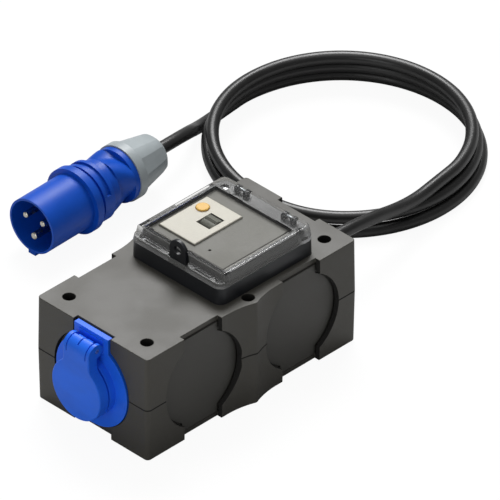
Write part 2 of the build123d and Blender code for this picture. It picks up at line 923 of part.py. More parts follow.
lid_spring_start = Vector(
    lid_hinge_x, knuckle_outer_y + spring_wire_radius + seal_gap, hinge_z
)
spring_points, spring_directions = helix_stations(
    Plane(origin=lid_spring_start, x_dir=(1, 0, 0), z_dir=(0, 1, 0)),
    lid_spring_radius,
    lid_spring_pitch,
    lid_spring_turns,
)
spring_wire = wound_wire(spring_points, spring_directions, spring_wire_radius, 0)[0]
with BuildPart() as lid_spring:
    add(spring_wire)
lid_spring.part.label = "lid_spring"
export_step(lid_spring.part, "parts/lid_spring.step")

with BuildPart() as lid_seal:
    with BuildSketch(end_plane(lid_back_x - lid_recess + seal_thickness)):
        with Locations((0, socket_z)):
            Circle(skirt_radius)
            Circle(skirt_radius - seal_width, mode=Mode.SUBTRACT)
    extrude(amount=seal_thickness)
lid_seal.part.label = "lid_seal"
export_step(lid_seal.part, "parts/lid_seal.step")

# Cable gland on its plate
gland_front_x = rear_x - pocket_depth - plate_gap
gland_back_x = gland_front_x - plate_thickness
gland_hex_x = gland_front_x + gland_hex_length
gland_nose_x = gland_hex_x + gland_nose_length
cap_start_x = gland_hex_x + seal_gap
cap_end_x = cap_start_x + cap_nut_length
gland_place = (0, gland_z)

with BuildPart() as gland_plate:
    extrude(plate_sketch(rear_face, gland_thread_radius, gland_z), amount=plate_thickness)
gland_plate.part.label = "gland_plate"
export_step(gland_plate.part, "parts/gland_plate.step")

with BuildPart() as cable_gland:
    with BuildSketch(rear_plane(gland_front_x)):
        with Locations(gland_place):
            RegularPolygon(gland_hex_width / 2, 6, major_radius=False)
    extrude(amount=gland_hex_length)
    with BuildSketch(rear_plane(gland_front_x)):
        with Locations(gland_place):
            Circle(gland_thread_radius)
    extrude(amount=-(plate_thickness + gland_inner_length))
    with BuildSketch(rear_plane(gland_hex_x)):
        with Locations(gland_place):
            Circle(gland_nose_radius)
    extrude(amount=gland_nose_length)
    with BuildSketch(rear_plane(gland_nose_x)):
        with Locations(gland_place):
            Circle(gland_bore_radius)
    extrude(amount=-(gland_nose_x - gland_back_x + gland_inner_length), mode=Mode.SUBTRACT)
cable_gland.part.label = "cable_gland"
export_step(cable_gland.part, "parts/cable_gland.step")

with BuildPart() as gland_locknut:
    with BuildSketch(rear_plane(gland_back_x)):
        with Locations(gland_place):
            RegularPolygon(locknut_width / 2, 6, major_radius=False)
            Circle(gland_thread_radius, mode=Mode.SUBTRACT)
    extrude(amount=-locknut_length)
gland_locknut.part.label = "gland_locknut"
export_step(gland_locknut.part, "parts/gland_locknut.step")

with BuildPart() as gland_cap_nut:
    with BuildSketch(rear_plane(cap_start_x)):
        with Locations(gland_place):
            Circle(cap_nut_radius)
    extrude(amount=cap_nut_length)
    fillet(gland_cap_nut.edges().sort_by(Axis.X)[-1], cap_dome_radius)
    with BuildSketch(rear_plane(cap_start_x)):
        with Locations(gland_place):
            RegularPolygon(cap_nut_radius + overrun, 6, major_radius=True)
            Circle(cap_nut_radius + 2 * overrun, mode=Mode.INTERSECT)
    extrude(amount=cap_nut_length, mode=Mode.INTERSECT)
    with BuildSketch(rear_plane(cap_start_x)):
        with Locations(gland_place):
            Circle(gland_nose_radius)
    extrude(amount=cap_nut_length - cap_wall, mode=Mode.SUBTRACT)
    with BuildSketch(rear_plane(cap_end_x)):
        with Locations(gland_place):
            Circle(cap_mouth_radius)
    extrude(amount=-cap_wall, mode=Mode.SUBTRACT)
gland_cap_nut.part.label = "gland_cap_nut"
export_step(gland_cap_nut.part, "parts/gland_cap_nut.step")

with BuildPart() as gland_seal:
    with BuildSketch(rear_plane(gland_nose_x)):
        with Locations(gland_place):
            Circle(gland_nose_radius)
    extrude(amount=cap_end_x - cap_wall - gland_nose_x)
    with BuildSketch(rear_plane(cap_end_x - cap_wall)):
        with Locations(gland_place):
            Circle(cap_mouth_radius)
    extrude(amount=cap_wall)
gland_seal.part.label = "gland_seal"
export_step(gland_seal.part, "parts/gland_seal.step")

# Window frame with sealing eye and hinge lugs
sill_top_z = frame_top_z + sill_height
lug_places = [side * cover_hinge_spacing / 2 for side in (-1, 1)]

with BuildPart() as window_frame:
    with BuildSketch(Plane.XY.offset(box_height)):
        with Locations((window_x, 0)):
            RectangleRounded(window_length, window_width, window_corner)
    extrude(amount=frame_height, taper=frame_draft)
    with BuildSketch(Plane.XY.offset(frame_top_z - frame_rear_drop)):
        with Locations((frame_rear_x + window_length / 2, 0)):
            Rectangle(window_length, window_width + 2 * overrun)
    extrude(amount=frame_rear_drop + overrun, mode=Mode.SUBTRACT)
    with BuildSketch(Plane.XY.offset(frame_top_z - frame_rear_drop)):
        with Locations((sill_x, 0)):
            RectangleRounded(sill_length, sill_width, sill_corner)
    extrude(amount=sill_height + frame_rear_drop)
    with BuildSketch(Plane.XY.offset(sill_top_z)):
        with Locations((surround_x, 0)):
            RectangleRounded(surround_length, surround_width, surround_corner)
            Rectangle(
                surround_length - 2 * surround_end_wall,
                surround_width - 2 * surround_side_wall,
                mode=Mode.SUBTRACT,
            )
    extrude(amount=surround_height)
    with BuildSketch(Plane.XY.offset(box_height)):
        with Locations((opening_x, 0)):
            Rectangle(opening_length, opening_width)
    extrude(amount=frame_height + sill_height, mode=Mode.SUBTRACT)
    with BuildSketch(Plane.XY.offset(box_height)):
        with Locations(frame_screw_places):
            Circle(frame_screw_radius)
    extrude(amount=frame_height + sill_height, mode=Mode.SUBTRACT)
    with BuildSketch(Plane.XY.offset(sill_top_z - frame_screw_head_room)):
        with Locations(frame_screw_places):
            Circle(frame_screw_head_radius)
    extrude(amount=frame_screw_head_room + surround_height, mode=Mode.SUBTRACT)
    for lug_y in lug_places:
        for start_y in (lug_y + lug_outer, lug_y - lug_inner):
            with BuildSketch(long_plane(start_y)):
                with Locations((cover_hinge_x, cover_hinge_z)):
                    Circle(lug_radius)
                stem_low = frame_top_z - frame_rear_drop
                with Locations(
                    (
                        cover_hinge_x + (lug_stem_rear - lug_radius) / 2,
                        (stem_low + cover_hinge_z) / 2,
                    )
                ):
                    Rectangle(lug_radius + lug_stem_rear, cover_hinge_z - stem_low)
                with Locations((cover_hinge_x, cover_hinge_z)):
                    Circle(cover_pin_radius, mode=Mode.SUBTRACT)
            extrude(amount=lug_outer - lug_inner)
    with BuildSketch(end_plane(eye_x + eye_thickness / 2)):
        with Locations((0, eye_z)):
            Circle(eye_radius)
        with Locations((0, (frame_top_z + eye_z) / 2)):
            Rectangle(2 * eye_radius, eye_z - frame_top_z)
        with Locations((0, eye_z)):
            Circle(eye_hole_radius, mode=Mode.SUBTRACT)
    extrude(amount=eye_thickness)
window_frame.part.label = "window_frame"
export_step(window_frame.part, "parts/window_frame.step")

with BuildPart() as frame_screws:
    add(
        screw_group(
            frame_screw_places,
            Plane.XY.offset(sill_top_z - frame_screw_head_room),
            frame_screw_radius,
            sill_top_z - frame_screw_head_room - ceiling_z,
            frame_screw_head_radius,
            frame_screw_head_height,
        )
    )
frame_screws.part.label = "frame_screws"
export_step(frame_screws.part, "parts/frame_screws.step")

with BuildPart() as window_seal:
    with BuildSketch(Plane.XY.offset(frame_top_z)):
        with Locations((sill_x, 0)):
            RectangleRounded(
                sill_length + 2 * window_seal_width,
                sill_width + 2 * window_seal_width,
                sill_corner + window_seal_width,
            )
            RectangleRounded(sill_length, sill_width, sill_corner, mode=Mode.SUBTRACT)
    extrude(amount=window_seal_height)
window_seal.part.label = "window_seal"
export_step(window_seal.part, "parts/window_seal.step")

# Clear cover
cover_low_z = frame_top_z + cover_gap
cover_top_inner_z = cover_top_z - cover_wall
lug_slot = lug_outer - lug_inner + 2 * lug_room

with BuildPart() as window_cover:
    with BuildSketch(Plane.XY.offset(cover_low_z)):
        with Locations((window_x, 0)):
            RectangleRounded(window_length, window_width, window_corner)
    extrude(amount=cover_top_z - cover_low_z, taper=cover_taper)
    fillet(window_cover.faces().sort_by(Axis.Z)[-1].edges(), cover_edge_round)
    with BuildSketch(Plane.XY.offset(step_z)):
        with Locations((step_x - window_length / 2, 0)):
            Rectangle(window_length, window_width)
    extrude(amount=cover_top_z - step_z + overrun, mode=Mode.SUBTRACT)
    with BuildSketch(Plane.XY.offset(cover_low_z)):
        with Locations((window_x, 0)):
            RectangleRounded(
                window_length - 2 * cover_wall,
                window_width - 2 * cover_wall,
                window_corner - cover_wall,
            )
    extrude(amount=step_z - cover_wall - cover_low_z, taper=cover_taper, mode=Mode.SUBTRACT)
    inner_draw = (step_z - cover_wall - cover_low_z) * tan(radians(cover_taper))
    dome_front_x = step_x + cover_wall
    dome_rear_x = window_x + window_length / 2 - cover_wall - inner_draw
    with BuildSketch(Plane.XY.offset(step_z - cover_wall)):
        with Locations(((dome_front_x + dome_rear_x) / 2, 0)):
            Rectangle(
                dome_rear_x - dome_front_x,
                window_width - 2 * cover_wall - 2 * inner_draw - 2 * window_corner,
            )
        with Locations(((dome_front_x + dome_rear_x) / 2, 0)):
            RectangleRounded(
                dome_rear_x - dome_front_x,
                window_width - 2 * cover_wall - 2 * inner_draw,
                window_corner - cover_wall,
            )
    extrude(
        amount=cover_top_inner_z - step_z + cover_wall, taper=cover_taper, mode=Mode.SUBTRACT
    )
    with BuildSketch(Plane.XY.offset(cover_low_z)):
        with Locations((skirt_rear_x + window_length / 2, 0)):
            Rectangle(window_length, window_width + 2 * overrun)
    extrude(amount=skirt_rear_z - cover_low_z, mode=Mode.SUBTRACT)
    for lug_y in lug_places:
        with BuildSketch(long_plane(lug_y + lug_inner - lug_room)):
            with Locations((cover_hinge_x, cover_hinge_z)):
                Circle(lug_radius)
            with Locations((cover_hinge_x, (cover_hinge_z + cover_top_inner_z + lug_room) / 2)):
                Rectangle(2 * lug_radius, cover_top_inner_z + lug_room - cover_hinge_z)
        extrude(amount=2 * (lug_inner - lug_room))
        for side in (-1, 1):
            slot_y = lug_y + side * (lug_inner + lug_outer) / 2
            slot_high = cover_hinge_z + lug_radius + 2 * lug_room
            with BuildSketch(Plane.XY.offset(skirt_rear_z - overrun)):
                with Locations((cover_hinge_x + lug_radius, slot_y)):
                    Rectangle(4 * lug_radius, lug_slot)
            extrude(amount=slot_high - skirt_rear_z + overrun, mode=Mode.SUBTRACT)
        with BuildSketch(long_plane(lug_y + lug_outer)):
            with Locations((cover_hinge_x, cover_hinge_z)):
                Circle(cover_pin_radius + pin_play)
        extrude(amount=2 * lug_outer, mode=Mode.SUBTRACT)
    with BuildSketch(Plane.XY.offset(cover_low_z)):
        with Locations(((eye_x - eye_slot_front + step_x) / 2, 0)):
            Rectangle(step_x - eye_x + eye_slot_front, 2 * (eye_radius + eye_slot_side))
    extrude(amount=step_z - cover_low_z + overrun, mode=Mode.SUBTRACT)
    with BuildSketch(Plane.XY.offset(step_z - cover_wall)):
        with Locations(
            [((eye_x + step_x) / 2 - eye_thickness, side * latch_slot_y) for side in (-1, 1)]
        ):
            Rectangle(latch_slot_width, latch_slot_length)
    extrude(amount=cover_wall, mode=Mode.SUBTRACT)
    with BuildSketch(Plane.XY.offset(cover_top_z - pane_groove_depth)):
        with Locations(((pane_front_x + pane_rear_x) / 2, 0)):
            Rectangle(pane_rear_x - pane_front_x, 2 * pane_half_width)
            Rectangle(
                pane_rear_x - pane_front_x - 2 * pane_groove_width,
                2 * (pane_half_width - pane_groove_width),
                mode=Mode.SUBTRACT,
            )
    extrude(amount=pane_groove_depth + overrun, mode=Mode.SUBTRACT)
window_cover.part.label = "window_cover"
export_step(window_cover.part, "parts/window_cover.step")

with BuildPart() as window_hinge_pins:
    for lug_y in lug_places:
        with BuildSketch(long_plane(lug_y + cover_pin_length / 2)):
            with Locations((cover_hinge_x, cover_hinge_z)):
                Circle(cover_pin_radius)
        extrude(amount=cover_pin_length)
window_hinge_pins.part.label = "window_hinge_pins"
export_step(window_hinge_pins.part, "parts/window_hinge_pins.step")

# Device plate and mounting rail
with BuildPart() as device_plate:
    with BuildSketch(Plane.XY.offset(sill_top_z)):
        with Locations((device_plate_x, 0)):
            RectangleRounded(device_plate_length, device_plate_width, device_plate_corner)
        with Locations((breaker_x, breaker_y)):
            Rectangle(
                breaker_nose_length + 2 * nose_gap,
                breaker_width + 2 * nose_gap,
                mode=Mode.SUBTRACT,
            )
        with Locations((clip_hole_x, clip_hole_y)):
            Circle(clip_hole_radius, mode=Mode.SUBTRACT)
    extrude(amount=device_plate_thickness)
device_plate.part.label = "device_plate"
export_step(device_plate.part, "parts/device_plate.step")

rail_top_web_z = rail_floor_z + rail_sheet
with BuildPart() as din_rail:
    with BuildSketch(long_plane(rail_length / 2)):
        with Locations((breaker_x, rail_floor_z + rail_sheet / 2)):
            Rectangle(rail_web_width, rail_sheet)
        for side in (-1, 1):
            wall_x = breaker_x + side * (rail_web_width - rail_sheet) / 2
            with Locations((wall_x, rail_floor_z + rail_depth / 2)):
                Rectangle(rail_sheet, rail_depth)
            lip_x = breaker_x + side * (rail_width + rail_web_width - 2 * rail_sheet) / 4
            with Locations((lip_x, rail_z - rail_sheet / 2)):
                Rectangle((rail_width - rail_web_width) / 2 + rail_sheet, rail_sheet)
    extrude(amount=rail_length)
    with BuildSketch(Plane.XY.offset(rail_floor_z)):
        with Locations(rail_post_places):
            Circle(rail_screw_radius)
    extrude(amount=rail_sheet, mode=Mode.SUBTRACT)
din_rail.part.label = "din_rail"
export_step(din_rail.part, "parts/din_rail.step")

with BuildPart() as rail_screws:
    add(
        screw_group(
            rail_post_places,
            Plane.XY.offset(rail_top_web_z),
            rail_screw_radius,
            rail_screw_length,
            rail_screw_head_radius,
            rail_screw_head_height,
        )
    )
rail_screws.part.label = "rail_screws"
export_step(rail_screws.part, "parts/rail_screws.step")

# Breaker case, two shells parted above the rail
breaker_low_x = breaker_x - breaker_length / 2
base_low_z = rail_z - foot_depth
base_top_z = rail_z + base_height
shoulder_z_top = ceiling_z - shoulder_gap
terminal_places = [
    (breaker_x + sx * terminal_x, breaker_y + sy * terminal_y)
    for sx in (-1, 1)
    for sy in (-1, 1)
]
terminal_low_z = base_top_z + terminal_lift
terminal_top_z = terminal_low_z + terminal_height

button_flange_z = breaker_top_z - case_wall - button_hole_gap - button_flange_height
button_seat_z = button_flange_z - button_spring_length
toggle_pin_length = toggle_recess_width + 2 * bearing_thickness
bridge_z = toggle_axis_z - bridge_drop
base_floor_z = rail_z + case_wall

with BuildPart() as rcd_base:
    with BuildSketch(Plane.XY.offset(rail_z)):
        with Locations((breaker_x, breaker_y)):
            Rectangle(breaker_length, breaker_width)
    extrude(amount=base_height)
    with BuildSketch(Plane.XY.offset(base_low_z)):
        for side in (-1, 1):
            foot_x = breaker_x + side * (rail_width / 2 + rail_slot_gap + foot_length / 2)
            with Locations((foot_x, breaker_y)):
                Rectangle(foot_length, breaker_width)
    extrude(amount=foot_depth)
    with BuildSketch(Plane.XY.offset(base_low_z)):
        hook_x = breaker_x + rail_width / 2 + rail_slot_gap - foot_grip / 2
        with Locations((hook_x, breaker_y)):
            Rectangle(foot_grip, breaker_width)
    extrude(amount=foot_depth - rail_sheet - rail_slot_gap)
    with BuildSketch(Plane.XY.offset(rail_z + case_wall)):
        with Locations((breaker_x, breaker_y)):
            Rectangle(breaker_length - 2 * case_wall, breaker_width - 2 * case_wall)
    extrude(amount=base_height - case_wall, mode=Mode.SUBTRACT)
    with BuildSketch(Plane.XY.offset(base_floor_z)):
        with Locations(terminal_places):
            Circle(terminal_post_radius)
    extrude(amount=terminal_low_z - base_floor_z)
    for side in (-1, 1):
        post_y = breaker_y + side * (bridge_width / 2 + bridge_bearing)
        with BuildSketch(Plane.XY.offset(base_floor_z)):
            with Locations((toggle_x, post_y)):
                Rectangle(2 * bridge_boss_radius, bridge_bearing)
        extrude(amount=bridge_z + bridge_boss_radius - base_floor_z)
    with BuildSketch(long_plane(breaker_y + bridge_width)):
        with Locations((toggle_x, bridge_z)):
            Circle(bridge_shaft_radius + pin_play)
    extrude(amount=2 * bridge_width, mode=Mode.SUBTRACT)
rcd_base.part.label = "rcd_base"
export_step(rcd_base.part, "parts/rcd_base.step")

with BuildPart() as rail_clip:
    clip_x = breaker_x - rail_width / 2 + foot_grip
    with BuildSketch(Plane.XY.offset(base_low_z - rail_clip_thickness)):
        with Locations((clip_x - rail_clip_length / 2, breaker_y)):
            Rectangle(rail_clip_length, rail_clip_width)
    extrude(amount=rail_clip_thickness)
    with BuildSketch(Plane.XY.offset(base_low_z)):
        with Locations((clip_x - foot_grip / 2, breaker_y)):
            Rectangle(foot_grip, rail_clip_width)
    extrude(amount=foot_depth - rail_sheet - rail_slot_gap)
rail_clip.part.label = "rail_clip"
export_step(rail_clip.part, "parts/rail_clip.step")

with BuildPart() as rcd_cover:
    with BuildSketch(Plane.XY.offset(base_top_z)):
        with Locations((breaker_x, breaker_y)):
            Rectangle(breaker_length, breaker_width)
    extrude(amount=shoulder_z_top - base_top_z)
    with BuildSketch(Plane.XY.offset(shoulder_z_top)):
        with Locations((breaker_x, breaker_y)):
            Rectangle(breaker_nose_length, breaker_width)
    extrude(amount=breaker_top_z - shoulder_z_top)
    top_face = rcd_cover.faces().sort_by(Axis.Z)[-1]
    fillet(top_face.edges(), nose_round)
    with BuildSketch(Plane.XY.offset(base_top_z)):
        with Locations((breaker_x, breaker_y)):
            Rectangle(breaker_length - 2 * case_wall, breaker_width - 2 * case_wall)
    extrude(amount=shoulder_z_top - case_wall - base_top_z, mode=Mode.SUBTRACT)
    with BuildSketch(Plane.XY.offset(base_top_z)):
        with Locations((breaker_x, breaker_y)):
            Rectangle(breaker_nose_length - 2 * case_wall, breaker_width - 2 * case_wall)
    extrude(amount=breaker_top_z - case_wall - base_top_z, mode=Mode.SUBTRACT)
    for side in (-1, 1):
        bearing_y = toggle_y + side * (toggle_recess_width + bearing_thickness) / 2
        with BuildSketch(Plane.XY.offset(toggle_axis_z - toggle_barrel_radius)):
            with Locations((toggle_x, bearing_y)):
                Rectangle(toggle_recess_length, bearing_thickness)
        extrude(amount=breaker_top_z - toggle_axis_z + toggle_barrel_radius - case_wall)
    with BuildSketch(Plane.XY.offset(toggle_axis_z)):
        with Locations((toggle_x, toggle_y)):
            Rectangle(toggle_recess_length, toggle_recess_width)
    extrude(amount=breaker_top_z - toggle_axis_z + overrun, mode=Mode.SUBTRACT)
    with BuildSketch(long_plane(toggle_y + toggle_pin_length / 2)):
        with Locations((toggle_x, toggle_axis_z)):
            Circle(toggle_pin_radius + pin_play)
    extrude(amount=toggle_pin_length, mode=Mode.SUBTRACT)
    with BuildSketch(Plane.XY.offset(button_seat_z - button_seat_height)):
        shelf_y = breaker_y + breaker_width / 2 - case_wall
        with Locations((button_x, (button_y - button_radius + shelf_y) / 2)):
            Rectangle(2 * button_radius, shelf_y - button_y + button_radius)
        with Locations((button_x, button_y)):
            Circle(button_stem_radius + button_hole_gap, mode=Mode.SUBTRACT)
    extrude(amount=button_seat_height)
    with BuildSketch(Plane.XY.offset(breaker_top_z - case_wall)):
        with Locations((button_x, button_y)):
            Circle(button_radius + button_hole_gap)
    extrude(amount=case_wall, mode=Mode.SUBTRACT)
    with BuildSketch(Plane.XY.offset(shoulder_z_top - case_wall)):
        with Locations(terminal_places):
            Circle(terminal_hole_radius)
    extrude(amount=case_wall, mode=Mode.SUBTRACT)
    with BuildSketch(Plane(origin=(breaker_low_x - overrun, 0, 0), x_dir=(0, 1, 0), z_dir=(1, 0, 0))):
        with Locations(
            [
                (breaker_y + side * terminal_y, terminal_low_z + terminal_height / 2)
                for side in (-1, 1)
            ]
        ):
            Rectangle(wire_entry_width, wire_entry_width)
    extrude(amount=breaker_length + 2 * overrun, mode=Mode.SUBTRACT)
rcd_cover.part.label = "rcd_cover"
export_step(rcd_cover.part, "parts/rcd_cover.step")

with BuildPart() as rcd_toggle:
    barrel_width = toggle_recess_width - 2 * toggle_side_gap
    with BuildSketch(long_plane(toggle_y + barrel_width / 2)):
        with Locations(Location((toggle_x, toggle_axis_z, 0), (0, 0, -toggle_tilt))):
            Circle(toggle_barrel_radius)
            Polygon(
                (-toggle_root_width / 2, 0),
                (toggle_root_width / 2, 0),
                (toggle_tip_width / 2, toggle_reach),
                (-toggle_tip_width / 2, toggle_reach),
                align=None,
            )
        with Locations((toggle_x, toggle_axis_z)):
            Circle(toggle_pin_radius, mode=Mode.SUBTRACT)
    extrude(amount=barrel_width)
rcd_toggle.part.label = "rcd_toggle"
export_step(rcd_toggle.part, "parts/rcd_toggle.step")

with BuildPart() as toggle_pin:
    with BuildSketch(long_plane(toggle_y + toggle_pin_length / 2)):
        with Locations((toggle_x, toggle_axis_z)):
            Circle(toggle_pin_radius)
    extrude(amount=toggle_pin_length)
toggle_pin.part.label = "toggle_pin"
export_step(toggle_pin.part, "parts/toggle_pin.step")

with BuildPart() as rcd_test_button:
    with BuildSketch(Plane.XY.offset(button_flange_z)):
        with Locations((button_x, button_y)):
            Circle(button_radius)
    extrude(amount=button_top_z - button_flange_z)
    fillet(rcd_test_button.edges().sort_by(Axis.Z)[-1], nose_round)
    with BuildSketch(Plane.XY.offset(button_flange_z)):
        with Locations((button_x, button_y)):
            Circle(button_radius + button_flange)
    extrude(amount=button_flange_height)
    with BuildSketch(Plane.XY.offset(button_flange_z)):
        with Locations((button_x, button_y)):
            Circle(button_stem_radius)
    extrude(amount=-button_stem_length)
rcd_test_button.part.label = "rcd_test_button"
export_step(rcd_test_button.part, "parts/rcd_test_button.step")

button_spring_pitch = (button_spring_length - 2 * spring_wire_radius) / button_spring_turns
spring_points, spring_directions = helix_stations(
    Plane(origin=(button_x, button_y, button_seat_z + spring_wire_radius)),
    button_spring_radius,
    button_spring_pitch,
    button_spring_turns,
)
spring_wire = wound_wire(spring_points, spring_directions, spring_wire_radius, 0)[0]
with BuildPart() as test_button_spring:
    add(spring_wire)
test_button_spring.part.label = "test_button_spring"
export_step(test_button_spring.part, "parts/test_button_spring.step")

# Terminals and the parts that trip and switch
with BuildPart() as rcd_terminals:
    with BuildSketch(Plane.XY.offset(terminal_low_z)):
        with Locations(terminal_places):
            Rectangle(terminal_length, terminal_width)
    extrude(amount=terminal_height)
    with BuildSketch(Plane.XY.offset(terminal_top_z)):
        with Locations(terminal_places):
            Circle(terminal_screw_radius)
    extrude(amount=-terminal_screw_length, mode=Mode.SUBTRACT)
rcd_terminals.part.label = "rcd_terminals"
export_step(rcd_terminals.part, "parts/rcd_terminals.step")

with BuildPart() as terminal_screws:
    add(
        screw_group(
            terminal_places,
            Plane.XY.offset(terminal_top_z),
            terminal_screw_radius,
            terminal_screw_length,
            terminal_screw_head_radius,
            terminal_screw_head_height,
        )
    )
terminal_screws.part.label = "terminal_screws"
export_step(terminal_screws.part, "parts/terminal_screws.step")

with BuildPart() as toroid_core:
    with BuildSketch(Plane.XY.offset(base_floor_z)):
        with Locations((toroid_x, breaker_y)):
            Circle(toroid_radius)
            Circle(toroid_bore, mode=Mode.SUBTRACT)
    extrude(amount=toroid_height)
    fillet(toroid_core.edges().group_by(Axis.Z)[-1], nose_round)
toroid_core.part.label = "toroid_core"
export_step(toroid_core.part, "parts/toroid_core.step")

with BuildPart() as trip_relay:
    with BuildSketch(Plane.XY.offset(base_floor_z)):
        with Locations((relay_x, breaker_y)):
            Rectangle(relay_length, relay_width)
    extrude(amount=relay_height)
    chamfer(trip_relay.edges().filter_by(Axis.Z), nose_round)
trip_relay.part.label = "trip_relay"
export_step(trip_relay.part, "parts/trip_relay.step")

contact_places_y = [breaker_y + side * contact_spacing / 2 for side in (-1, 1)]
pad_x = toggle_x + bridge_length
with BuildPart() as contact_bridge:
    with BuildSketch(long_plane(breaker_y + bridge_width / 2)):
        with Locations((toggle_x, bridge_z)):
            Circle(bridge_boss_radius)
        with Locations((toggle_x + (bridge_length + bridge_pad_radius) / 2, bridge_z)):
            Rectangle(bridge_length + bridge_pad_radius, bridge_thickness)
    extrude(amount=bridge_width)
    shaft_half = bridge_width / 2 + bridge_shaft_reach
    with BuildSketch(long_plane(breaker_y + shaft_half)):
        with Locations((toggle_x, bridge_z)):
            Circle(bridge_shaft_radius)
    extrude(amount=2 * shaft_half)
    with BuildSketch(Plane.XY.offset(bridge_z)):
        with Locations([(pad_x, y) for y in contact_places_y]):
            Circle(bridge_pad_radius)
    extrude(amount=-bridge_thickness / 2 - bridge_pad_height)
contact_bridge.part.label = "contact_bridge"
export_step(contact_bridge.part, "parts/contact_bridge.step")

fixed_top_z = bridge_z - bridge_thickness / 2 - bridge_pad_height - contact_gap
with BuildPart() as fixed_contacts:
    with BuildSketch(Plane.XY.offset(base_floor_z)):
        with Locations([(pad_x, y) for y in contact_places_y]):
            Rectangle(contact_strip, contact_width)
    extrude(amount=fixed_top_z - base_floor_z)
    with BuildSketch(Plane.XY.offset(fixed_top_z)):
        with Locations([(pad_x, y) for y in contact_places_y]):
            Rectangle(2 * bridge_pad_radius, contact_width)
    extrude(amount=-contact_strip)
fixed_contacts.part.label = "fixed_contacts"
export_step(fixed_contacts.part, "parts/fixed_contacts.step")

# Plug on the floor beside the housing
plug_way = Vector(cos(radians(plug_turn)), sin(radians(plug_turn)), 0)
plug_start = Vector(plug_x, plug_y, plug_collar_radius)
plug_side = Plane(
    origin=plug_start, x_dir=plug_way, z_dir=(sin(radians(plug_turn)), -cos(radians(plug_turn)), 0)
)
plug_axis = Axis(plug_start, plug_way)
plug_end_x = (-sin(radians(plug_turn)), cos(radians(plug_turn)), 0)


def plug_plane(t):
    """Plane across the plug, a distance behind the front of its sleeve."""
    return Plane(origin=plug_start + plug_way * t, x_dir=plug_end_x, z_dir=plug_way)


def on_circle(radius, angle):
    """Point of a circle at an angle in degrees."""
    return (radius * cos(radians(angle)), radius * sin(radians(angle)))


line_pin_places = [on_circle(plug_pin_circle, angle) for angle in line_pin_angles]
earth_pin_place = on_circle(plug_pin_circle, earth_pin_angle)

with BuildPart() as plug_housing:
    with BuildSketch(plug_side):
        with BuildLine():
            Polyline(
                (0, sleeve_bore),
                (0, sleeve_radius),
                (sleeve_length, sleeve_radius),
                (sleeve_length, plug_collar_radius),
                (collar_end, plug_collar_radius),
                (collar_end, neck_groove_radius),
                (ring_start, neck_groove_radius),
                (ring_start, ring_radius),
                (ring_end, ring_radius),
                (ring_end, throat_radius),
                (throat_end, throat_radius),
                (throat_end, plug_bore),
                (sleeve_depth, plug_bore),
                (sleeve_depth, sleeve_bore),
                close=True,
            )
        make_face()
    revolve(axis=plug_axis)
    key_middle = (key_reach + sleeve_bore) / 2
    with BuildSketch(plug_plane(0)):
        with Locations((0, -key_middle)):
            Rectangle(key_width, key_reach - sleeve_bore)
        Circle(sleeve_bore, mode=Mode.SUBTRACT)
    extrude(amount=sleeve_length)
    slot_start = (ring_start + ring_end - ring_slot_width) / 2
    with BuildSketch(plug_plane(slot_start)):
        Circle(ring_radius + overrun)
        Circle(ring_radius - ring_slot_depth, mode=Mode.SUBTRACT)
        with Locations((0, ring_radius * sin(radians(90 - ring_slot_angle)) - ring_radius)):
            Rectangle(3 * ring_radius, 2 * ring_radius, mode=Mode.SUBTRACT)
    extrude(amount=ring_slot_width, mode=Mode.SUBTRACT)
plug_housing.part.label = "plug_housing"
export_step(plug_housing.part, "parts/plug_housing.step")

with BuildPart() as plug_pin_carrier:
    with BuildSketch(plug_plane(carrier_start)):
        Circle(plug_bore)
        with Locations(line_pin_places):
            Circle(line_pin_radius, mode=Mode.SUBTRACT)
        with Locations(earth_pin_place):
            Circle(earth_pin_radius, mode=Mode.SUBTRACT)
    extrude(amount=carrier_end - carrier_start)
plug_pin_carrier.part.label = "plug_pin_carrier"
export_step(plug_pin_carrier.part, "parts/plug_pin_carrier.step")

with BuildPart() as line_pins:
    with BuildSketch(plug_plane(pin_setback)):
        with Locations(line_pin_places):
            Circle(line_pin_radius)
    extrude(amount=pin_root - pin_setback)
    tips = line_pins.edges().sort_by(Axis.X)[:2]
    fillet(tips, pin_tip_round)
line_pins.part.label = "line_pins"
export_step(line_pins.part, "parts/line_pins.step")

with BuildPart() as earth_pin:
    with BuildSketch(plug_plane(pin_setback)):
        with Locations(earth_pin_place):
            Circle(earth_pin_radius)
    extrude(amount=pin_root - pin_setback)
    fillet(earth_pin.edges().sort_by(Axis.X)[0], pin_tip_round)
earth_pin.part.label = "earth_pin"
export_step(earth_pin.part, "parts/earth_pin.step")

with BuildPart() as plug_grip:
    for i in range(grip_stations):
        share = i / (grip_stations - 1)
        with BuildSketch(plug_plane(grip_start + share * (grip_end - grip_start))):
            with BuildLine():
                Spline(
                    [
                        on_circle(
                            grip_core_radius
                            + grip_lobe * (0.5 + 0.5 * cos(2 * pi * grip_lobes * k / grip_points)),
                            360 * k / grip_points + share * grip_twist,
                        )
                        for k in range(grip_points)
                    ],
                    periodic=True,
                )
            make_face()
    loft()
    with BuildSketch(plug_plane(grip_end)):
        Circle(grip_disc_radius)
    extrude(amount=grip_disc_end - grip_end)
    with BuildSketch(plug_plane(grip_start)):
        Circle(grip_bore)
    extrude(amount=grip_disc_end - grip_start, mode=Mode.SUBTRACT)
plug_grip.part.label = "plug_grip"
export_step(plug_grip.part, "parts/plug_grip.step")

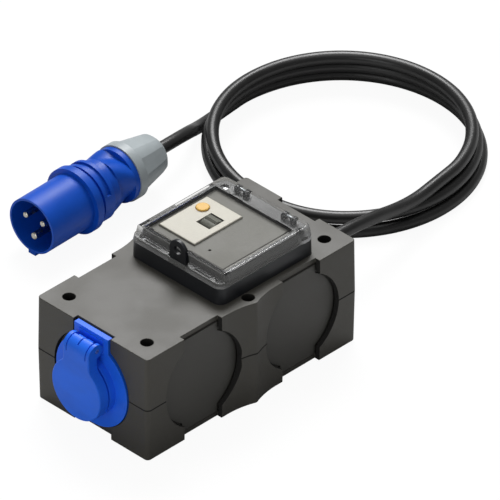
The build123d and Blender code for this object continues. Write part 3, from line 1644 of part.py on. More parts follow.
nut_taper = degrees(atan2(nut_flat_start - nut_flat_end, nut_end - nut_band_end))
with BuildPart() as plug_gland_nut:
    with BuildSketch(plug_plane(nut_band_end)):
        RegularPolygon(nut_flat_start, nut_facet_count, major_radius=False)
    extrude(amount=nut_end - nut_band_end, taper=nut_taper)
    with BuildSketch(plug_side):
        with BuildLine():
            Polyline(
                (nut_band_end, 0),
                (nut_band_end, nut_taper_start),
                (nut_end - nut_round, nut_tip_radius),
                (nut_end, nut_tip_radius - nut_round),
                (nut_end, 0),
                close=True,
            )
        make_face()
    revolve(axis=plug_axis, mode=Mode.INTERSECT)
    with BuildSketch(plug_plane(grip_disc_end)):
        Circle(nut_band_radius)
    extrude(amount=nut_band_end - grip_disc_end)
    with BuildSketch(plug_plane(grip_disc_end)):
        Circle(nut_bore)
    extrude(amount=nut_bore_depth, mode=Mode.SUBTRACT)
    with BuildSketch(plug_plane(nut_end)):
        Circle(nut_mouth_radius)
    extrude(amount=-(nut_end - grip_disc_end), mode=Mode.SUBTRACT)
plug_gland_nut.part.label = "plug_gland_nut"
export_step(plug_gland_nut.part, "parts/plug_gland_nut.step")

with BuildPart() as plug_cord_clamp:
    with BuildSketch(plug_plane(grip_disc_end)):
        Circle(nut_bore)
    extrude(amount=nut_bore_depth)
    with BuildSketch(plug_plane(nut_end)):
        Circle(nut_mouth_radius)
    extrude(amount=-(nut_end - grip_disc_end - nut_bore_depth))
plug_cord_clamp.part.label = "plug_cord_clamp"
export_step(plug_cord_clamp.part, "parts/plug_cord_clamp.step")

# Cable: a lead from the plug, a coil of two and a half turns, a lead to the gland
cable_diameter = 2 * cable_radius


def coil_spot(angle):
    """Centre of the coiled cable at an angle in degrees, clockwise."""
    turn = angle / 360
    radius = coil_radius - coil_turn_inset * turn
    climb = (angle % 360 - climb_start) / (climb_end - climb_start)
    layer = floor(turn) + min(max(climb, 0), 1)
    around = radians(90 - angle)
    return Vector(
        coil_x + radius * cos(around),
        coil_y + radius * sin(around),
        cable_radius + coil_layer_step * layer,
    )


def coil_way(angle):
    """Level direction of the coiled cable at an angle in degrees."""
    radius = coil_radius - coil_turn_inset * angle / 360
    shrink = coil_turn_inset / (2 * pi)
    around = radians(90 - angle)
    return Vector(
        radius * sin(around) - shrink * cos(around),
        -radius * cos(around) - shrink * sin(around),
        0,
    ).normalized()


def fitted_radii(points):
    """Largest arc that each corner's two runs allow."""
    spots = [Vector(p) for p in points]
    radii = []
    for before, corner, after in zip(spots, spots[1:], spots[2:]):
        run_in, run_out = corner - before, after - corner
        half_turn = radians(run_in.get_angle(run_out)) / 2
        radii.append(bend_share * min(run_in.length, run_out.length) / tan(half_turn))
    return radii


def lead_tube(points, name):
    """Tube along straight runs joined by tangent arcs."""
    radii = fitted_radii(points)
    with BuildPart() as tube:
        with BuildLine() as route:
            FilletPolyline(*points, radius=radii)
        with BuildSketch(Plane(origin=points[0], z_dir=Vector(points[1]) - Vector(points[0]))):
            Circle(cable_radius)
        sweep(path=route.wires()[0])
    length = route.wires()[0].length
    expected = pi * cable_radius**2 * length
    print(name, "radii", [round(r, 1) for r in radii], "length", round(length, 1))
    print(name, "volume over section by length", round(tube.part.volume / expected, 4))
    return tube.part


coil_angles = [coil_start_angle]
for turn in range(int(coil_end_angle // 360) + 1):
    coil_angles += [
        360 * turn + station
        for station in coil_stations
        if 360 * turn + station < coil_end_angle - station_spacing
    ]
coil_angles.append(coil_end_angle)
coil_tube, coil_line = wound_wire(
    [coil_spot(angle) for angle in coil_angles],
    [coil_way(angle) for angle in coil_angles],
    cable_radius,
    cable_diameter,
)
coil_in = coil_spot(coil_start_angle) - coil_way(coil_start_angle) * cable_diameter
coil_out = coil_spot(coil_end_angle) + coil_way(coil_end_angle) * cable_diameter

with BuildPart() as cable_coil:
    add(coil_tube)
cable_coil.part.label = "cable_coil"
export_step(cable_coil.part, "parts/cable_coil.step")

samples = [coil_line.position_at(i / gap_samples) for i in range(gap_samples + 1)]
skip = int(gap_samples * cable_diameter * gap_skip_diameters / coil_line.length) + 1
least = min((a - b).length for i, a in enumerate(samples) for b in samples[i + skip:])
print("coil length", round(coil_line.length, 1))
print("coil's least gap to itself", round(least - cable_diameter, 2))

plug_lead_start = plug_start + plug_way * nut_end
plug_lead_points = [
    tuple(plug_lead_start),
    tuple(plug_lead_start + plug_way * plug_run),
    tuple(coil_in - coil_way(coil_start_angle) * coil_start_run),
    tuple(coil_in),
]
with BuildPart() as plug_lead:
    add(lead_tube(plug_lead_points, "plug_lead"))
plug_lead.part.label = "plug_lead"
export_step(plug_lead.part, "parts/plug_lead.step")

gland_mouth = Vector(cap_end_x, 0, gland_z)
box_lead_points = [
    tuple(gland_mouth),
    tuple(gland_mouth + Vector(gland_run, 0, 0)),
    tuple(coil_out + coil_way(coil_end_angle) * coil_end_run),
    tuple(coil_out),
]
with BuildPart() as box_lead:
    add(lead_tube(box_lead_points, "box_lead"))
box_lead.part.label = "box_lead"
export_step(box_lead.part, "parts/box_lead.step")
print("plug lead points", [[round(v, 2) for v in p] for p in plug_lead_points])
print("box lead points", [[round(v, 2) for v in p] for p in box_lead_points])
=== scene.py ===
"""Looks of a portable power box: rubber housing with a flip-lid socket, a
breaker under a clear hinged window, and a blue plug on a coiled cable."""

import math

import bmesh
import bpy
from bpy.props import FloatProperty, FloatVectorProperty, IntProperty, PointerProperty
from bpy.types import Operator, Panel, PropertyGroup
from mathutils import Matrix, Vector


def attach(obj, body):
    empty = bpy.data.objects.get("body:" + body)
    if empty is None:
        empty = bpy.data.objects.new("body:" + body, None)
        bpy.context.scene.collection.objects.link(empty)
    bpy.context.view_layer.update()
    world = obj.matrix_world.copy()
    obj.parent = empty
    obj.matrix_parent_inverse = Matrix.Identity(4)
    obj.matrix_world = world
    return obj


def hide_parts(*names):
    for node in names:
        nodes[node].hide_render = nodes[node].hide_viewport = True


bl_info = {
    "name": "Portable Power Box",
    "version": (1, 0, 0),
    "blender": (4, 5, 0),
    "location": "View3D > Sidebar > Power Box",
    "description": "Builds the cable, finishes and studio of a portable power box",
    "category": "Object",
}

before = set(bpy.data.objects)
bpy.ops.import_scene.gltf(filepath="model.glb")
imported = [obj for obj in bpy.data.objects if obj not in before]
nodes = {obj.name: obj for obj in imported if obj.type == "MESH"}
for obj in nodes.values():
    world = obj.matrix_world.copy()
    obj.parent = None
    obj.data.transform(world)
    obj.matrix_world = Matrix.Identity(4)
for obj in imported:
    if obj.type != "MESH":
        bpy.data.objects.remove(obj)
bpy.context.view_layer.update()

MM = 0.001
HOUSING = "housing"

# Camera, fitted to the straight edges of the housing: eye and aim in millimetres,
# nearest and farthest sight in metres
CAMERA_EYE = (-4491.56, -4513.56, 4622.33)
CAMERA_AIM = (47.6, -5.33, 81.4)
CAMERA_UP = (0.41294, 0.41311, 0.81168)
CAMERA_LENS = 796.4
CAMERA_CLIP = (1.0, 60.0)

# Centre line of the cable, in millimetres, and in degrees round the coil
GLAND_LEAD = (
    (122.3, 0, 45), (162.3, 0, 45), (224.81, 9.36, 24.5), (264.35, 15.39, 24.5),
)
PLUG_LEAD = (
    (238.98, 209.82, 4.9), (208.13, 206.75, 4.9),
    (173.43, 186.18, 26.1), (140.44, 185.2, 26.1),
)
COIL_X, COIL_Y = 259.4, 109.3
COIL_RADIUS = 102
COIL_FIRST, COIL_LAST = -6.0, 891.0
TURN_RISE = 9.8
TURN_DRIFT = 3.4
CLIMB_START, CLIMB_ANGLE = 240, 90

# Hollows of the housing, where shade is painted in, in millimetres from its centre and
# alike on both sides.
# A fade is the width over which a mask dies away.
SIDE_POCKET_Y = (51.4, 62.0)
SIDE_POCKET_END_X = 92.0
END_POCKET_X = (100.4, 106.0)
END_POCKET_SIDE_Y = 40.0
POCKET_FADE = 2.0
SCREW_PLACES = ((88.5, 39.0), (0.0, 50.8))
SCREW_HOLE_RADIUS, SCREW_HOLE_FADE = 4.9, 0.2
PARTING_Z, PARTING_HALF_WIDTH, PARTING_FADE = 43.6, 0.45, 0.25
TOP_Z, TOP_FADE = 86.4, 0.5

# Pane of the clear cover and the groove round it, in millimetres
PANE_CENTRE_X = 21.75
PANE_HALF_LENGTH, PANE_HALF_WIDTH = 34.0, 37.25
PANE_FADE = 0.1
GROOVE_WIDTH = 1.25
GROOVE_Z = (110.2, 110.9)
GROOVE_FADE = 0.05

# Dust on moulded pieces, and painted shade in their hollows: share, shade, added
# roughness
DUST_SHARE, DUST_SHADE = 0.14, 1.35
PAINTED_SHADE_SHARE, PAINTED_SHADE_TONE, PAINTED_SHADE_ROUGHNESS = 0.9, 0.05, 0.4

# Clear plastic: added roughness, and shares of cloud and of painted shade in the groove
CLEAR_IOR = 1.49
HAZE_ROUGHNESS, RIM_ROUGHNESS = 0.02, 0.13
WALL_CLOUD, PANE_CLOUD = 0.16, 0.01
GROOVE_SHADE_SHARE = 0.8

# Studio, in metres: places of the softboxes from the middle of the object
MIDDLE = (0.1, 0.06, 0.0)
OVERHEAD_PLACE, OVERHEAD_SIZE = (0, 0, 1.5), 1.3
REAR_PLACE, REAR_SIZE = (1.7, 1.7, 3.5), 2.2
SIDE_PLACE, SIDE_SIZE = (-1.7, -0.5, 0.5), 1.0
FLOOR_SIZE = 30.0
FLOOR_DROP = 0.0002
GLOW_SHARE, GLOW_STRENGTH = 0.86, 1.09

WHITE = (1, 1, 1)


def colour_of(text):
    """Linear red, green and blue of a six digit screen colour."""
    values = [int(text[i : i + 2], 16) / 255 for i in (0, 2, 4)]
    return tuple(
        v / 12.92 if v <= 0.04045 else ((v + 0.055) / 1.055) ** 2.4 for v in values
    )


def shade(colour, factor):
    """The colour made lighter or darker."""
    return tuple(min(1.0, c * factor) for c in colour)


def colour_prop(label, text, description):
    """A colour setting with its default given as a screen colour."""
    return FloatVectorProperty(
        name=label, description=description, subtype="COLOR", size=3,
        min=0.0, max=1.0, default=colour_of(text),
    )


def length_prop(label, millimetres, description):
    """A length setting with its default given in millimetres."""
    return FloatProperty(
        name=label, description=description, subtype="DISTANCE", unit="LENGTH",
        min=0.0, default=millimetres * MM,
    )


def power_prop(label, watts, description):
    """A setting for the power of a lamp."""
    return FloatProperty(
        name=label, description=description, unit="POWER", min=0.0, default=watts
    )


class HousingSettings(PropertyGroup):
    """Colours and grain of the housing."""

    rubber: colour_prop("Rubber", "45433d", "Moulded rubber of the housing shells")
    plate: colour_prop("Plates", "484743", "Blank plates and plate of the gland")
    gland: colour_prop("Gland", "232427", "Nylon of the cable gland")
    grain: length_prop("Grain size", 0.9, "Size of the fine grain in the rubber")


class WindowSettings(PropertyGroup):
    """Colours of the window and polish of its cover."""

    frame_plastic: colour_prop("Frame", "1f2125", "Black plastic of the window's frame")
    clear: colour_prop("Cover", "ecece9", "Tint of the clear cover")
    roughness: FloatProperty(
        name="Cover roughness", description="How polished the clear cover is",
        subtype="FACTOR", min=0.0, max=1.0, default=0.02,
    )


class BreakerSettings(PropertyGroup):
    """Colours of the breaker."""

    case: colour_prop("Case", "dedacd", "White case of the breaker")
    toggle: colour_prop("Toggle", "7d7e76", "Grey switching toggle")
    button: colour_prop("Test button", "fcc350", "Amber test button")
    device_plate: colour_prop("Device plate", "7c7b75", "Grey plate round the breaker")


class PlugSettings(PropertyGroup):
    """Colours of the plug and of the socket."""

    blue: colour_prop("Blue", "0a50c2", "Blue plastic of the plug")
    lid_blue: colour_prop("Socket lid", "2470fa", "Blue of the socket and its lid")
    nut: colour_prop("Gland nut", "a3abae", "Grey plastic of the plug's gland nut")


class CableSettings(PropertyGroup):
    """Thickness, colour and fineness of the cable."""

    diameter: length_prop("Diameter", 9.8, "Outside diameter of the cable")
    sheath: colour_prop("Sheath", "1a1a1a", "Black rubber sheath")
    points_per_turn: IntProperty(
        name="Points per turn", description="Control points in one turn of the coil",
        min=12, max=40, default=18,
    )


class StudioSettings(PropertyGroup):
    """Strength of the lights."""

    key_power: power_prop("Overhead power", 4.0, "Power of the softbox overhead")
    rear_power: power_prop("Rear power", 172.0, "Power of the softbox behind")
    side_power: power_prop("Side power", 5.4, "Power of the softbox by the socket")
    fill_strength: FloatProperty(
        name="Fill", description="Strength of the even light from all round",
        min=0.0, default=0.2,
    )


class Wire:
    """A socket of a material's nodes, so that shader maths reads as plain sums."""

    def __init__(self, tree, socket=None):
        self.tree = tree
        self.socket = socket

    def node(self, kind, settings=None, inputs=None, output=0):
        """A new node of that type, with its settings first and then its sockets."""
        made = self.tree.nodes.new(kind)
        for key, value in (settings or {}).items():
            setattr(made, key, value)
        for key, value in (inputs or {}).items():
            if isinstance(value, Wire):
                self.tree.links.new(value.socket, made.inputs[key])
            elif value is not None:
                socket = made.inputs[key]
                wants_alpha = socket.type == "RGBA" and len(value) == 3
                socket.default_value = (*value, 1.0) if wants_alpha else value
        return Wire(self.tree, made.outputs[output] if made.outputs else None)

    def maths(self, operation, first, second=None, clamp=False):
        """A Math node on this wire's tree."""
        return self.node(
            "ShaderNodeMath", {"operation": operation, "use_clamp": clamp},
            {0: first, 1: second},
        )

    def __add__(self, other):
        return self.maths("ADD", self, other)

    def __radd__(self, other):
        return self.maths("ADD", other, self)

    def __sub__(self, other):
        return self.maths("SUBTRACT", self, other)

    def __rsub__(self, other):
        return self.maths("SUBTRACT", other, self)

    def __mul__(self, other):
        return self.maths("MULTIPLY", self, other)

    def __rmul__(self, other):
        return self.maths("MULTIPLY", other, self)

    def __pow__(self, other):
        return self.maths("POWER", self, other)

    def __rpow__(self, other):
        return self.maths("POWER", other, self)

    def size(self):
        """This value without its sign."""
        return self.maths("ABSOLUTE", self)

    def within(self):
        """This value kept between 0 and 1."""
        return self.maths("ADD", self, 0.0, clamp=True)

    def above(self, low, high):
        """0 below low, 1 above high, and smooth between them."""
        return self.node(
            "ShaderNodeMapRange", {"interpolation_type": "SMOOTHSTEP"},
            {"Value": self, "From Min": low, "From Max": high},
        )

    def past(self, limit, fade):
        """0 up to a limit and 1 from a fade beyond it."""
        return self.above(limit, limit + fade)

    def between(self, low, high, fade=0.2):
        """1 between two limits, 0 outside them, and smooth at both."""
        return self.above(low - fade, low) * (1 - self.past(high, fade))

    def blend(self, first, second):
        """Mixes two colours by this value."""
        return self.node(
            "ShaderNodeMix", {"data_type": "RGBA"}, {0: self, 6: first, 7: second}, 2
        )

    def tones(self, colour, low, high):
        """Varies a colour by this value, from its shade low to its shade high."""
        return self.blend(shade(colour, low), shade(colour, high))

    def mix_shaders(self, first, second):
        """Mixes two shaders by this value."""
        return self.node("ShaderNodeMixShader", None, {0: self, 1: first, 2: second})

    def rays(self, *kinds):
        """1 for rays of these kinds and 0 for others."""
        path = self.node("ShaderNodeLightPath").socket.node
        found = [Wire(self.tree, path.outputs[f"Is {kind} Ray"]) for kind in kinds]
        return sum(found[1:], found[0]).within()


class Finish:
    """A material under way. Its lengths are in millimetres."""

    def __init__(self, name):
        self.material = bpy.data.materials.new(name)
        self.material.use_nodes = True
        tree = self.material.node_tree
        tree.nodes.clear()
        self.start = Wire(tree)
        self.place = self.start.node("ShaderNodeTexCoord", output=3)

    def noise(self, size, detail, roughness=0.5, stretch=None):
        """Noise whose blotches are about this size across."""
        place = self.place
        if stretch:
            place = self.start.node("ShaderNodeMapping", None, {0: place, 3: stretch})
        return self.start.node(
            "ShaderNodeTexNoise", None,
            {
                "Vector": place,
                "Scale": 1 / (size * MM),
                "Detail": detail,
                "Roughness": roughness,
            },
        )

    def part(self, vector, number):
        """X, Y or Z of a vector."""
        return self.start.node("ShaderNodeSeparateXYZ", None, {0: vector}, number)

    def axis(self, number):
        """X, Y or Z of the surface's place."""
        return self.part(self.place, number) * (1 / MM)

    def facing(self, number):
        """How far the surface faces along an axis, from 0 to 1 either way."""
        normal = self.start.node("ShaderNodeTexCoord", output=1)
        return self.part(normal, number).size()

    def bump(self, height, depth, strength, edge=0.0):
        """Normal of a raised pattern, over edges softened to a radius."""
        normal = None
        if edge:
            normal = self.start.node(
                "ShaderNodeBevel", {"samples": 6}, {"Radius": edge * MM}
            )
        return self.start.node(
            "ShaderNodeBump", None,
            {
                "Height": height,
                "Distance": depth * MM,
                "Strength": strength,
                "Normal": normal,
            },
        )

    def principled(self, inputs):
        """A Principled shader with these inputs."""
        return self.start.node("ShaderNodeBsdfPrincipled", None, inputs)

    def matt(self, colour):
        """A plain matt shader."""
        return self.start.node("ShaderNodeBsdfDiffuse", None, {"Color": colour})

    def close(self, shader):
        """Joins a shader to the material's output and gives the material."""
        self.start.node("ShaderNodeOutputMaterial", None, {"Surface": shader})
        return self.material


def moulded(name, colour, rough=0.45, grain=0.8, depth=0.03, edge=0.35,
            specular=0.5, sunken=None):
    """Moulded plastic or rubber: spark-eroded grain, faint flow marks and dust.

    Size and depth of the grain and the radius of the edges are in millimetres.
    sunken gives the share of the surface that lies in hollows, where shade is painted
    in.
    """
    finish = Finish(name)
    flow = finish.noise(35, 3.0, stretch=(1, 1, 2.2)).above(0.3, 0.7)
    dust = finish.noise(3.5, 2.0).above(0.52, 0.78)
    texture = finish.noise(grain, 3.0, 0.6)
    base = flow.tones(colour, 0.92, 1.07)
    base = (dust * DUST_SHARE).blend(base, shade(colour, DUST_SHADE))
    gloss = flow * 0.1 + (texture - 0.5) * 0.12 + (rough - 0.05)
    # Painted shade: the hollows are darkened to near black and made rougher.
    if sunken:
        hollow = sunken(finish)
        base = (hollow * PAINTED_SHADE_SHARE).blend(base, shade(colour, PAINTED_SHADE_TONE))
        gloss += hollow * PAINTED_SHADE_ROUGHNESS
    return finish.close(finish.principled({
        "Base Color": base,
        "Roughness": gloss.within(),
        "Specular IOR Level": specular,
        "Normal": finish.bump(texture, depth, 0.5, edge),
    }))


def plated(name, colour, rough=0.28, brushed=(1, 1, 14), edge=0.12):
    """Drawn or plated metal with fine draw lines and small dull spots."""
    finish = Finish(name)
    lines = finish.noise(1.6, 3.0, stretch=brushed)
    spots = finish.noise(6, 3.0).above(0.5, 0.72)
    base = lines.tones(colour, 0.85, 1.08)
    base = (spots * 0.35).blend(base, shade(colour, 0.7))
    return finish.close(finish.principled({
        "Base Color": base,
        "Metallic": 1.0,
        "Roughness": (lines * 0.12 + spots * 0.12 + (rough - 0.06)).within(),
        "Normal": finish.bump(lines, 0.01, 0.4, edge),
    }))


def dress(material, *names):
    """Gives CAD nodes this material."""
    for name in names:
        mesh = nodes[name].data
        mesh.materials.clear()
        mesh.materials.append(material)


class POWERBOX_OT_camera(Operator):
    """Places the camera at the photograph's viewing angle."""

    bl_idname = "powerbox.camera"
    bl_label = "Place Camera"

    def execute(self, context):
        lens = bpy.data.cameras.new("camera")
        lens.lens = CAMERA_LENS
        lens.clip_start, lens.clip_end = CAMERA_CLIP
        camera = bpy.data.objects.new("camera", lens)
        context.scene.collection.objects.link(camera)
        eye = Vector(CAMERA_EYE) * MM
        back = (eye - Vector(CAMERA_AIM) * MM).normalized()
        right = Vector(CAMERA_UP).cross(back).normalized()
        turn = Matrix((right, back.cross(right), back)).transposed().to_4x4()
        camera.matrix_world = Matrix.Translation(eye) @ turn
        context.scene.camera = camera
        return {"FINISHED"}


class POWERBOX_OT_cable(Operator):
    """Lays the supply cable: out of the gland, round the coil and into the plug."""

    bl_idname = "powerbox.cable"
    bl_label = "Lay Cable"

    def execute(self, context):
        settings = context.scene.powerbox_cable
        places = (*GLAND_LEAD, *self.coil(settings), *PLUG_LEAD)
        route = [Vector(place) * MM for place in places]
        curve = bpy.data.curves.new("supply_cable", "CURVE")
        curve.dimensions = "3D"
        line = curve.splines.new("NURBS")
        line.points.add(len(route) - 1)
        for point, place in zip(line.points, route):
            point.co = (*place, 1.0)
        line.order_u = 3
        line.use_endpoint_u = True
        line.resolution_u = 8
        curve.bevel_depth = settings.diameter / 2
        curve.bevel_resolution = 7
        curve.use_fill_caps = True
        curve.materials.append(self.sheath(settings.sheath))
        cable = bpy.data.objects.new("supply_cable", curve)
        context.scene.collection.objects.link(cable)
        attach(cable, HOUSING)
        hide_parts("cable_coil", "plug_lead", "box_lead")
        return {"FINISHED"}

    def coil(self, settings):
        """Control points of the coil, from its top turn down to the floor.

        They lie outside the coil, so that the curve between them keeps its radius.
        """
        sweep = COIL_LAST - COIL_FIRST
        count = round(sweep / 360 * settings.points_per_turn)
        step = sweep / count
        points = []
        for i in range(count):
            angle = COIL_LAST - (i + 0.5) * step
            on_curve = COIL_RADIUS - TURN_DRIFT * angle / 360
            radius = on_curve / math.cos(math.radians(step / 2))
            climb = min(1.0, max(0.0, (angle % 360 - CLIMB_START) / CLIMB_ANGLE))
            layer = math.floor(angle / 360) + climb
            height = settings.diameter / MM / 2 + TURN_RISE * layer
            turned = math.radians(90 - angle)
            points.append((
                COIL_X + radius * math.cos(turned),
                COIL_Y + radius * math.sin(turned),
                height,
            ))
        return points

    def sheath(self, colour):
        """Black rubber sheath with the extruder's faint flow and fine grain."""
        finish = Finish("cable_sheath")
        flow = finish.noise(20, 3.0).above(0.3, 0.7)
        grain = finish.noise(0.6, 3.0, 0.6)
        return finish.close(finish.principled({
            "Base Color": flow.tones(colour, 0.85, 1.12),
            "Roughness": (flow * 0.08 + (grain - 0.5) * 0.16 + 0.32).within(),
            "Specular IOR Level": 0.65,
            "Normal": finish.bump(grain, 0.03, 0.45),
        }))


class POWERBOX_OT_housing(Operator):
    """Finishes the rubber housing, its plates, gland, seals and metal pieces."""

    bl_idname = "powerbox.housing"
    bl_label = "Finish Housing"

    def execute(self, context):
        settings = context.scene.powerbox_housing
        # Painted shade goes into the rubber's hollows through sunken.
        rubber = moulded(
            "housing_rubber", settings.rubber, rough=0.5, grain=settings.grain / MM,
            depth=0.05, edge=0.6, specular=0.6, sunken=self.hollows,
        )
        dress(rubber, "top_shell", "bottom_shell")
        plates = moulded(
            "side_plates", settings.plate, rough=0.5, grain=0.7, edge=0.4, specular=0.6
        )
        dress(
            plates, "blank_plate_near_front", "blank_plate_near_rear",
            "blank_plate_far_front", "blank_plate_far_rear", "gland_plate",
            "socket_carrier",
        )
        gland = moulded(
            "gland_nylon", settings.gland, rough=0.38, grain=0.5, depth=0.02, edge=0.4
        )
        dress(gland, "cable_gland", "gland_locknut", "gland_cap_nut")
        seals = moulded(
            "seal_rubber", colour_of("1b1b1c"), rough=0.7, grain=0.4, edge=0.15,
            specular=0.3,
        )
        dress(seals, "gland_seal", "lid_seal", "window_seal")
        steel = plated("zinc_steel", colour_of("c9cccf"), rough=0.32)
        dress(
            steel, "frame_screws", "rail_screws", "din_rail", "terminal_screws",
            "lid_pin", "lid_spring", "test_button_spring",
        )
        black_steel = plated("black_steel", colour_of("2b2c2e"), rough=0.4)
        dress(black_steel, "shell_screws")
        brass = plated("brass", colour_of("c9a35a"), rough=0.3)
        dress(
            brass, "screw_inserts", "line_contacts", "rcd_terminals", "contact_bridge",
            "fixed_contacts",
        )
        return {"FINISHED"}

    def hollows(self, finish):
        """Screw holes, walls of the pockets and the groove where the halves meet, where
        shade is painted into the rubber.
        """
        x, y, z = (finish.axis(i) for i in range(3))
        side_walls = y.size().between(*SIDE_POCKET_Y)
        side_walls *= self.short_of(x, SIDE_POCKET_END_X) * self.edge_on(finish, 1)
        end_walls = x.size().between(*END_POCKET_X)
        end_walls *= self.short_of(y, END_POCKET_SIDE_Y) * self.edge_on(finish, 0)
        hollow = side_walls + end_walls
        for hole_x, hole_y in SCREW_PLACES:
            along, across = x.size() - hole_x, y.size() - hole_y
            distance = (along * along + across * across) ** 0.5
            hollow += 1 - distance.past(SCREW_HOLE_RADIUS, SCREW_HOLE_FADE)
        parting = 1 - (z - PARTING_Z).size().past(PARTING_HALF_WIDTH, PARTING_FADE)
        return (hollow * (1 - z.past(TOP_Z, TOP_FADE)) + parting).within()

    def short_of(self, place, limit):
        """1 nearer to the centre than a limit, either way."""
        return 1 - place.size().past(limit, POCKET_FADE)

    def edge_on(self, finish, number):
        """1 where the surface doesn't face along an axis."""
        return 1 - finish.facing(number).above(0.5, 0.7)


class POWERBOX_OT_window(Operator):
    """Finishes the window's frame, clear cover and hinge pins."""

    bl_idname = "powerbox.window"
    bl_label = "Finish Window"

    def execute(self, context):
        settings = context.scene.powerbox_window
        black = moulded(
            "window_frame_black", settings.frame_plastic, rough=0.36, grain=0.6,
            depth=0.02, edge=0.5,
        )
        dress(black, "window_frame")
        pins = plated("hinge_steel", colour_of("8e9296"), rough=0.3)
        dress(pins, "window_hinge_pins")
        dress(self.clear(settings), "window_cover")
        return {"FINISHED"}

    def clear(self, settings):
        """Clear moulded cover, a little hazy, that lets light onto what is under it."""
        finish = Finish("clear_cover")
        haze = finish.noise(30, 3.0).above(0.35, 0.7)
        ripple = finish.noise(4, 2.0)
        rim = 1 - self.pane(finish, GROOVE_WIDTH)
        rough = haze * HAZE_ROUGHNESS + settings.roughness + rim * RIM_ROUGHNESS
        glass = finish.principled({
            "Base Color": haze.tones(settings.clear, 1.0, 0.96),
            "Roughness": rough.within(),
            "IOR": CLEAR_IOR,
            "Specular Tint": (0.5, 0.5, 0.5),
            "Transmission Weight": 1.0,
            "Normal": finish.bump(ripple, 0.02, 0.15),
        })
        cloudy = finish.matt(shade(settings.clear, 0.8))
        # Painted shade: a near-black matt shader laid over the groove round the pane.
        groove_shade = finish.matt((0.004, 0.004, 0.004))
        open_air = finish.start.node(
            "ShaderNodeBsdfTransparent", None, {"Color": (0.94, 0.94, 0.94)}
        )
        cloud = (1 - finish.facing(2).above(0.4, 0.8)) * WALL_CLOUD + PANE_CLOUD
        cover = cloud.mix_shaders(glass, cloudy)
        cover = (self.groove(finish) * GROOVE_SHADE_SHARE).mix_shaders(cover, groove_shade)
        light = finish.start.rays("Shadow", "Diffuse", "Glossy")
        return finish.close(light.mix_shaders(cover, open_air))

    def groove(self, finish):
        """The groove round the pane, where a near-black line of painted shade lies."""
        ring = self.pane(finish, GROOVE_WIDTH) * (1 - self.pane(finish, 0.0))
        return ring * finish.axis(2).between(*GROOVE_Z, GROOVE_FADE)

    def pane(self, finish, margin):
        """1 over the flat pane and a margin round it."""
        length, width = PANE_HALF_LENGTH + margin, PANE_HALF_WIDTH + margin
        along, across = (finish.axis(0) - PANE_CENTRE_X).size(), finish.axis(1).size()
        return (1 - along.past(length, PANE_FADE)) * (1 - across.past(width, PANE_FADE))


class POWERBOX_OT_breaker(Operator):
    """Finishes the residual current breaker, its toggle, button and works."""

    bl_idname = "powerbox.breaker"
    bl_label = "Finish Breaker"

    def execute(self, context):
        settings = context.scene.powerbox_breaker
        white = moulded(
            "breaker_white", settings.case, rough=0.4, grain=0.5, depth=0.015, edge=0.25
        )
        dress(white, "rcd_base", "rcd_cover", "socket_core")
        grey = moulded(
            "toggle_grey", settings.toggle, rough=0.42, grain=0.4, depth=0.012, edge=0.3
        )
        dress(grey, "rcd_toggle")
        amber = moulded(
            "test_amber", settings.button, rough=0.35, grain=0.4, depth=0.01, edge=0.4
        )
        dress(amber, "rcd_test_button")
        plate = moulded(
            "device_grey", settings.device_plate, rough=0.5, grain=0.6, depth=0.02,
            edge=0.3,
        )
        dress(plate, "device_plate")
        black = moulded("breaker_black", colour_of("2a2a2c"))
        dress(black, "rail_clip", "trip_relay", "toggle_pin")
        core = moulded("ferrite", colour_of("34343a"), rough=0.5, grain=0.4, edge=0.2)
        dress(core, "toroid_core")
        return {"FINISHED"}


class POWERBOX_OT_socket(Operator):
    """Finishes the blue socket flange, its lid and the earth clip."""

    bl_idname = "powerbox.socket"
    bl_label = "Finish Socket"

    def execute(self, context):
        settings = context.scene.powerbox_plug
        blue = moulded(
            "socket_blue", settings.lid_blue, rough=0.38, grain=0.6, depth=0.015,
            edge=0.5, specular=0.3,
        )
        dress(blue, "socket_flange", "socket_lid")
        dress(plated("nickel_spring", colour_of("b9b4a6"), rough=0.3), "earth_clip")
        return {"FINISHED"}


class POWERBOX_OT_plug(Operator):
    """Finishes the blue plug, its pins and its grey gland nut."""

    bl_idname = "powerbox.plug"
    bl_label = "Finish Plug"

    def execute(self, context):
        settings = context.scene.powerbox_plug
        blue = moulded(
            "plug_blue", settings.blue, rough=0.4, grain=0.6, depth=0.015, edge=0.4,
            specular=0.3,
        )
        dress(blue, "plug_housing", "plug_pin_carrier", "plug_grip")
        grey = moulded(
            "nut_grey", settings.nut, rough=0.36, grain=0.6, depth=0.015, edge=0.5
        )
        dress(grey, "plug_gland_nut", "plug_cord_clamp")
        pins = plated("nickel_pins", colour_of("d9d5c8"), rough=0.22)
        dress(pins, "line_pins", "earth_pin")
        return {"FINISHED"}


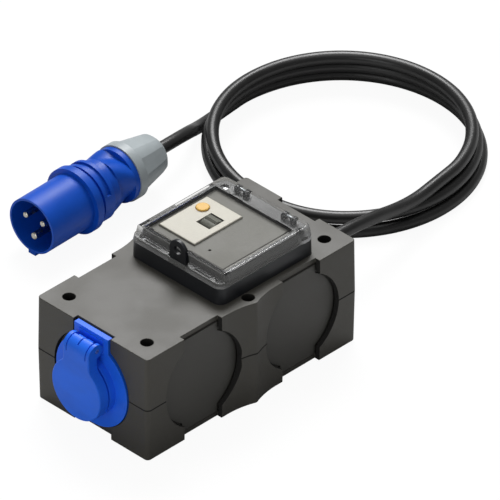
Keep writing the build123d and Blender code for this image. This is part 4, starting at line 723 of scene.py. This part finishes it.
class POWERBOX_OT_studio(Operator):
    """Sets up the pale floor, the soft lamps and the white surroundings."""

    bl_idname = "powerbox.studio"
    bl_label = "Set Up Studio"

    def execute(self, context):
        settings = context.scene.powerbox_studio
        context.scene.view_settings.view_transform = "Standard"
        self.floor(context)
        self.surroundings(context, settings.fill_strength)
        for name, place, size, power in (
            ("overhead_softbox", OVERHEAD_PLACE, OVERHEAD_SIZE, settings.key_power),
            ("rear_softbox", REAR_PLACE, REAR_SIZE, settings.rear_power),
            ("side_softbox", SIDE_PLACE, SIDE_SIZE, settings.side_power),
        ):
            self.softbox(context, name, Vector(place), size, power)
        return {"FINISHED"}

    def floor(self, context):
        """Wide flat floor, just under the object."""
        maker = bmesh.new()
        bmesh.ops.create_grid(maker, x_segments=2, y_segments=2, size=FLOOR_SIZE)
        mesh = bpy.data.meshes.new("floor")
        maker.to_mesh(mesh)
        maker.free()
        mesh.materials.append(self.paper())
        floor = bpy.data.objects.new("floor", mesh)
        floor.location.z = -FLOOR_DROP
        context.scene.collection.objects.link(floor)

    def paper(self):
        """White floor paper that keeps the object's shadow and shows as white."""
        finish = Finish("floor_paper")
        mottle = finish.noise(400, 2.0).above(0.2, 0.8)
        paper = finish.matt(mottle.tones(WHITE, 0.5, 0.54))
        glow = finish.start.node(
            "ShaderNodeEmission", None, {"Color": WHITE, "Strength": GLOW_STRENGTH}
        )
        share = finish.start.rays("Camera", "Transmission") * GLOW_SHARE
        return finish.close(share.mix_shaders(paper, glow))

    def surroundings(self, context, strength):
        """Even light from all round, seen as white."""
        world = bpy.data.worlds.new("surroundings")
        world.use_nodes = True
        world.node_tree.nodes.clear()
        start = Wire(world.node_tree)
        level = start.rays("Camera", "Transmission") * (1 - strength) + strength
        light = start.node(
            "ShaderNodeBackground", None, {"Color": WHITE, "Strength": level}
        )
        start.node("ShaderNodeOutputWorld", None, {"Surface": light})
        context.scene.world = world

    def softbox(self, context, name, place, size, power):
        """A square area lamp, placed from the middle of the object and facing it."""
        lamp = bpy.data.lights.new(name, "AREA")
        lamp.energy = power
        lamp.size = size
        box = bpy.data.objects.new(name, lamp)
        box.location = Vector(MIDDLE) + place
        box.rotation_euler = place.to_track_quat("Z", "Y").to_euler()
        context.scene.collection.objects.link(box)


STEPS = (
    POWERBOX_OT_camera, POWERBOX_OT_cable, POWERBOX_OT_housing, POWERBOX_OT_window,
    POWERBOX_OT_breaker, POWERBOX_OT_socket, POWERBOX_OT_plug, POWERBOX_OT_studio,
)
SETTINGS = {
    "powerbox_housing": HousingSettings,
    "powerbox_window": WindowSettings,
    "powerbox_breaker": BreakerSettings,
    "powerbox_plug": PlugSettings,
    "powerbox_cable": CableSettings,
    "powerbox_studio": StudioSettings,
}


class POWERBOX_PT_panel(Panel):
    """Sidebar list of the box's steps and settings."""

    bl_idname = "POWERBOX_PT_panel"
    bl_label = "Power Box"
    bl_space_type = "VIEW_3D"
    bl_region_type = "UI"
    bl_category = "Power Box"

    def draw(self, context):
        for step in STEPS:
            self.layout.operator(step.bl_idname)
        for name, group in SETTINGS.items():
            box = self.layout.box()
            for prop in group.__annotations__:
                box.prop(getattr(context.scene, name), prop)


def register():
    """Adds the settings, the steps and the panel to Blender."""
    for group in SETTINGS.values():
        bpy.utils.register_class(group)
    for name, group in SETTINGS.items():
        setattr(bpy.types.Scene, name, PointerProperty(type=group))
    for step in (*STEPS, POWERBOX_PT_panel):
        bpy.utils.register_class(step)


def unregister():
    """Takes them out again."""
    for step in reversed((*STEPS, POWERBOX_PT_panel)):
        bpy.utils.unregister_class(step)
    for name in SETTINGS:
        delattr(bpy.types.Scene, name)
    for group in reversed(list(SETTINGS.values())):
        bpy.utils.unregister_class(group)


def main():
    """Runs every step in order."""
    register()
    for step in STEPS:
        area, verb = step.bl_idname.split(".")
        getattr(getattr(bpy.ops, area), verb)()


if __name__ == "__main__":
    main()
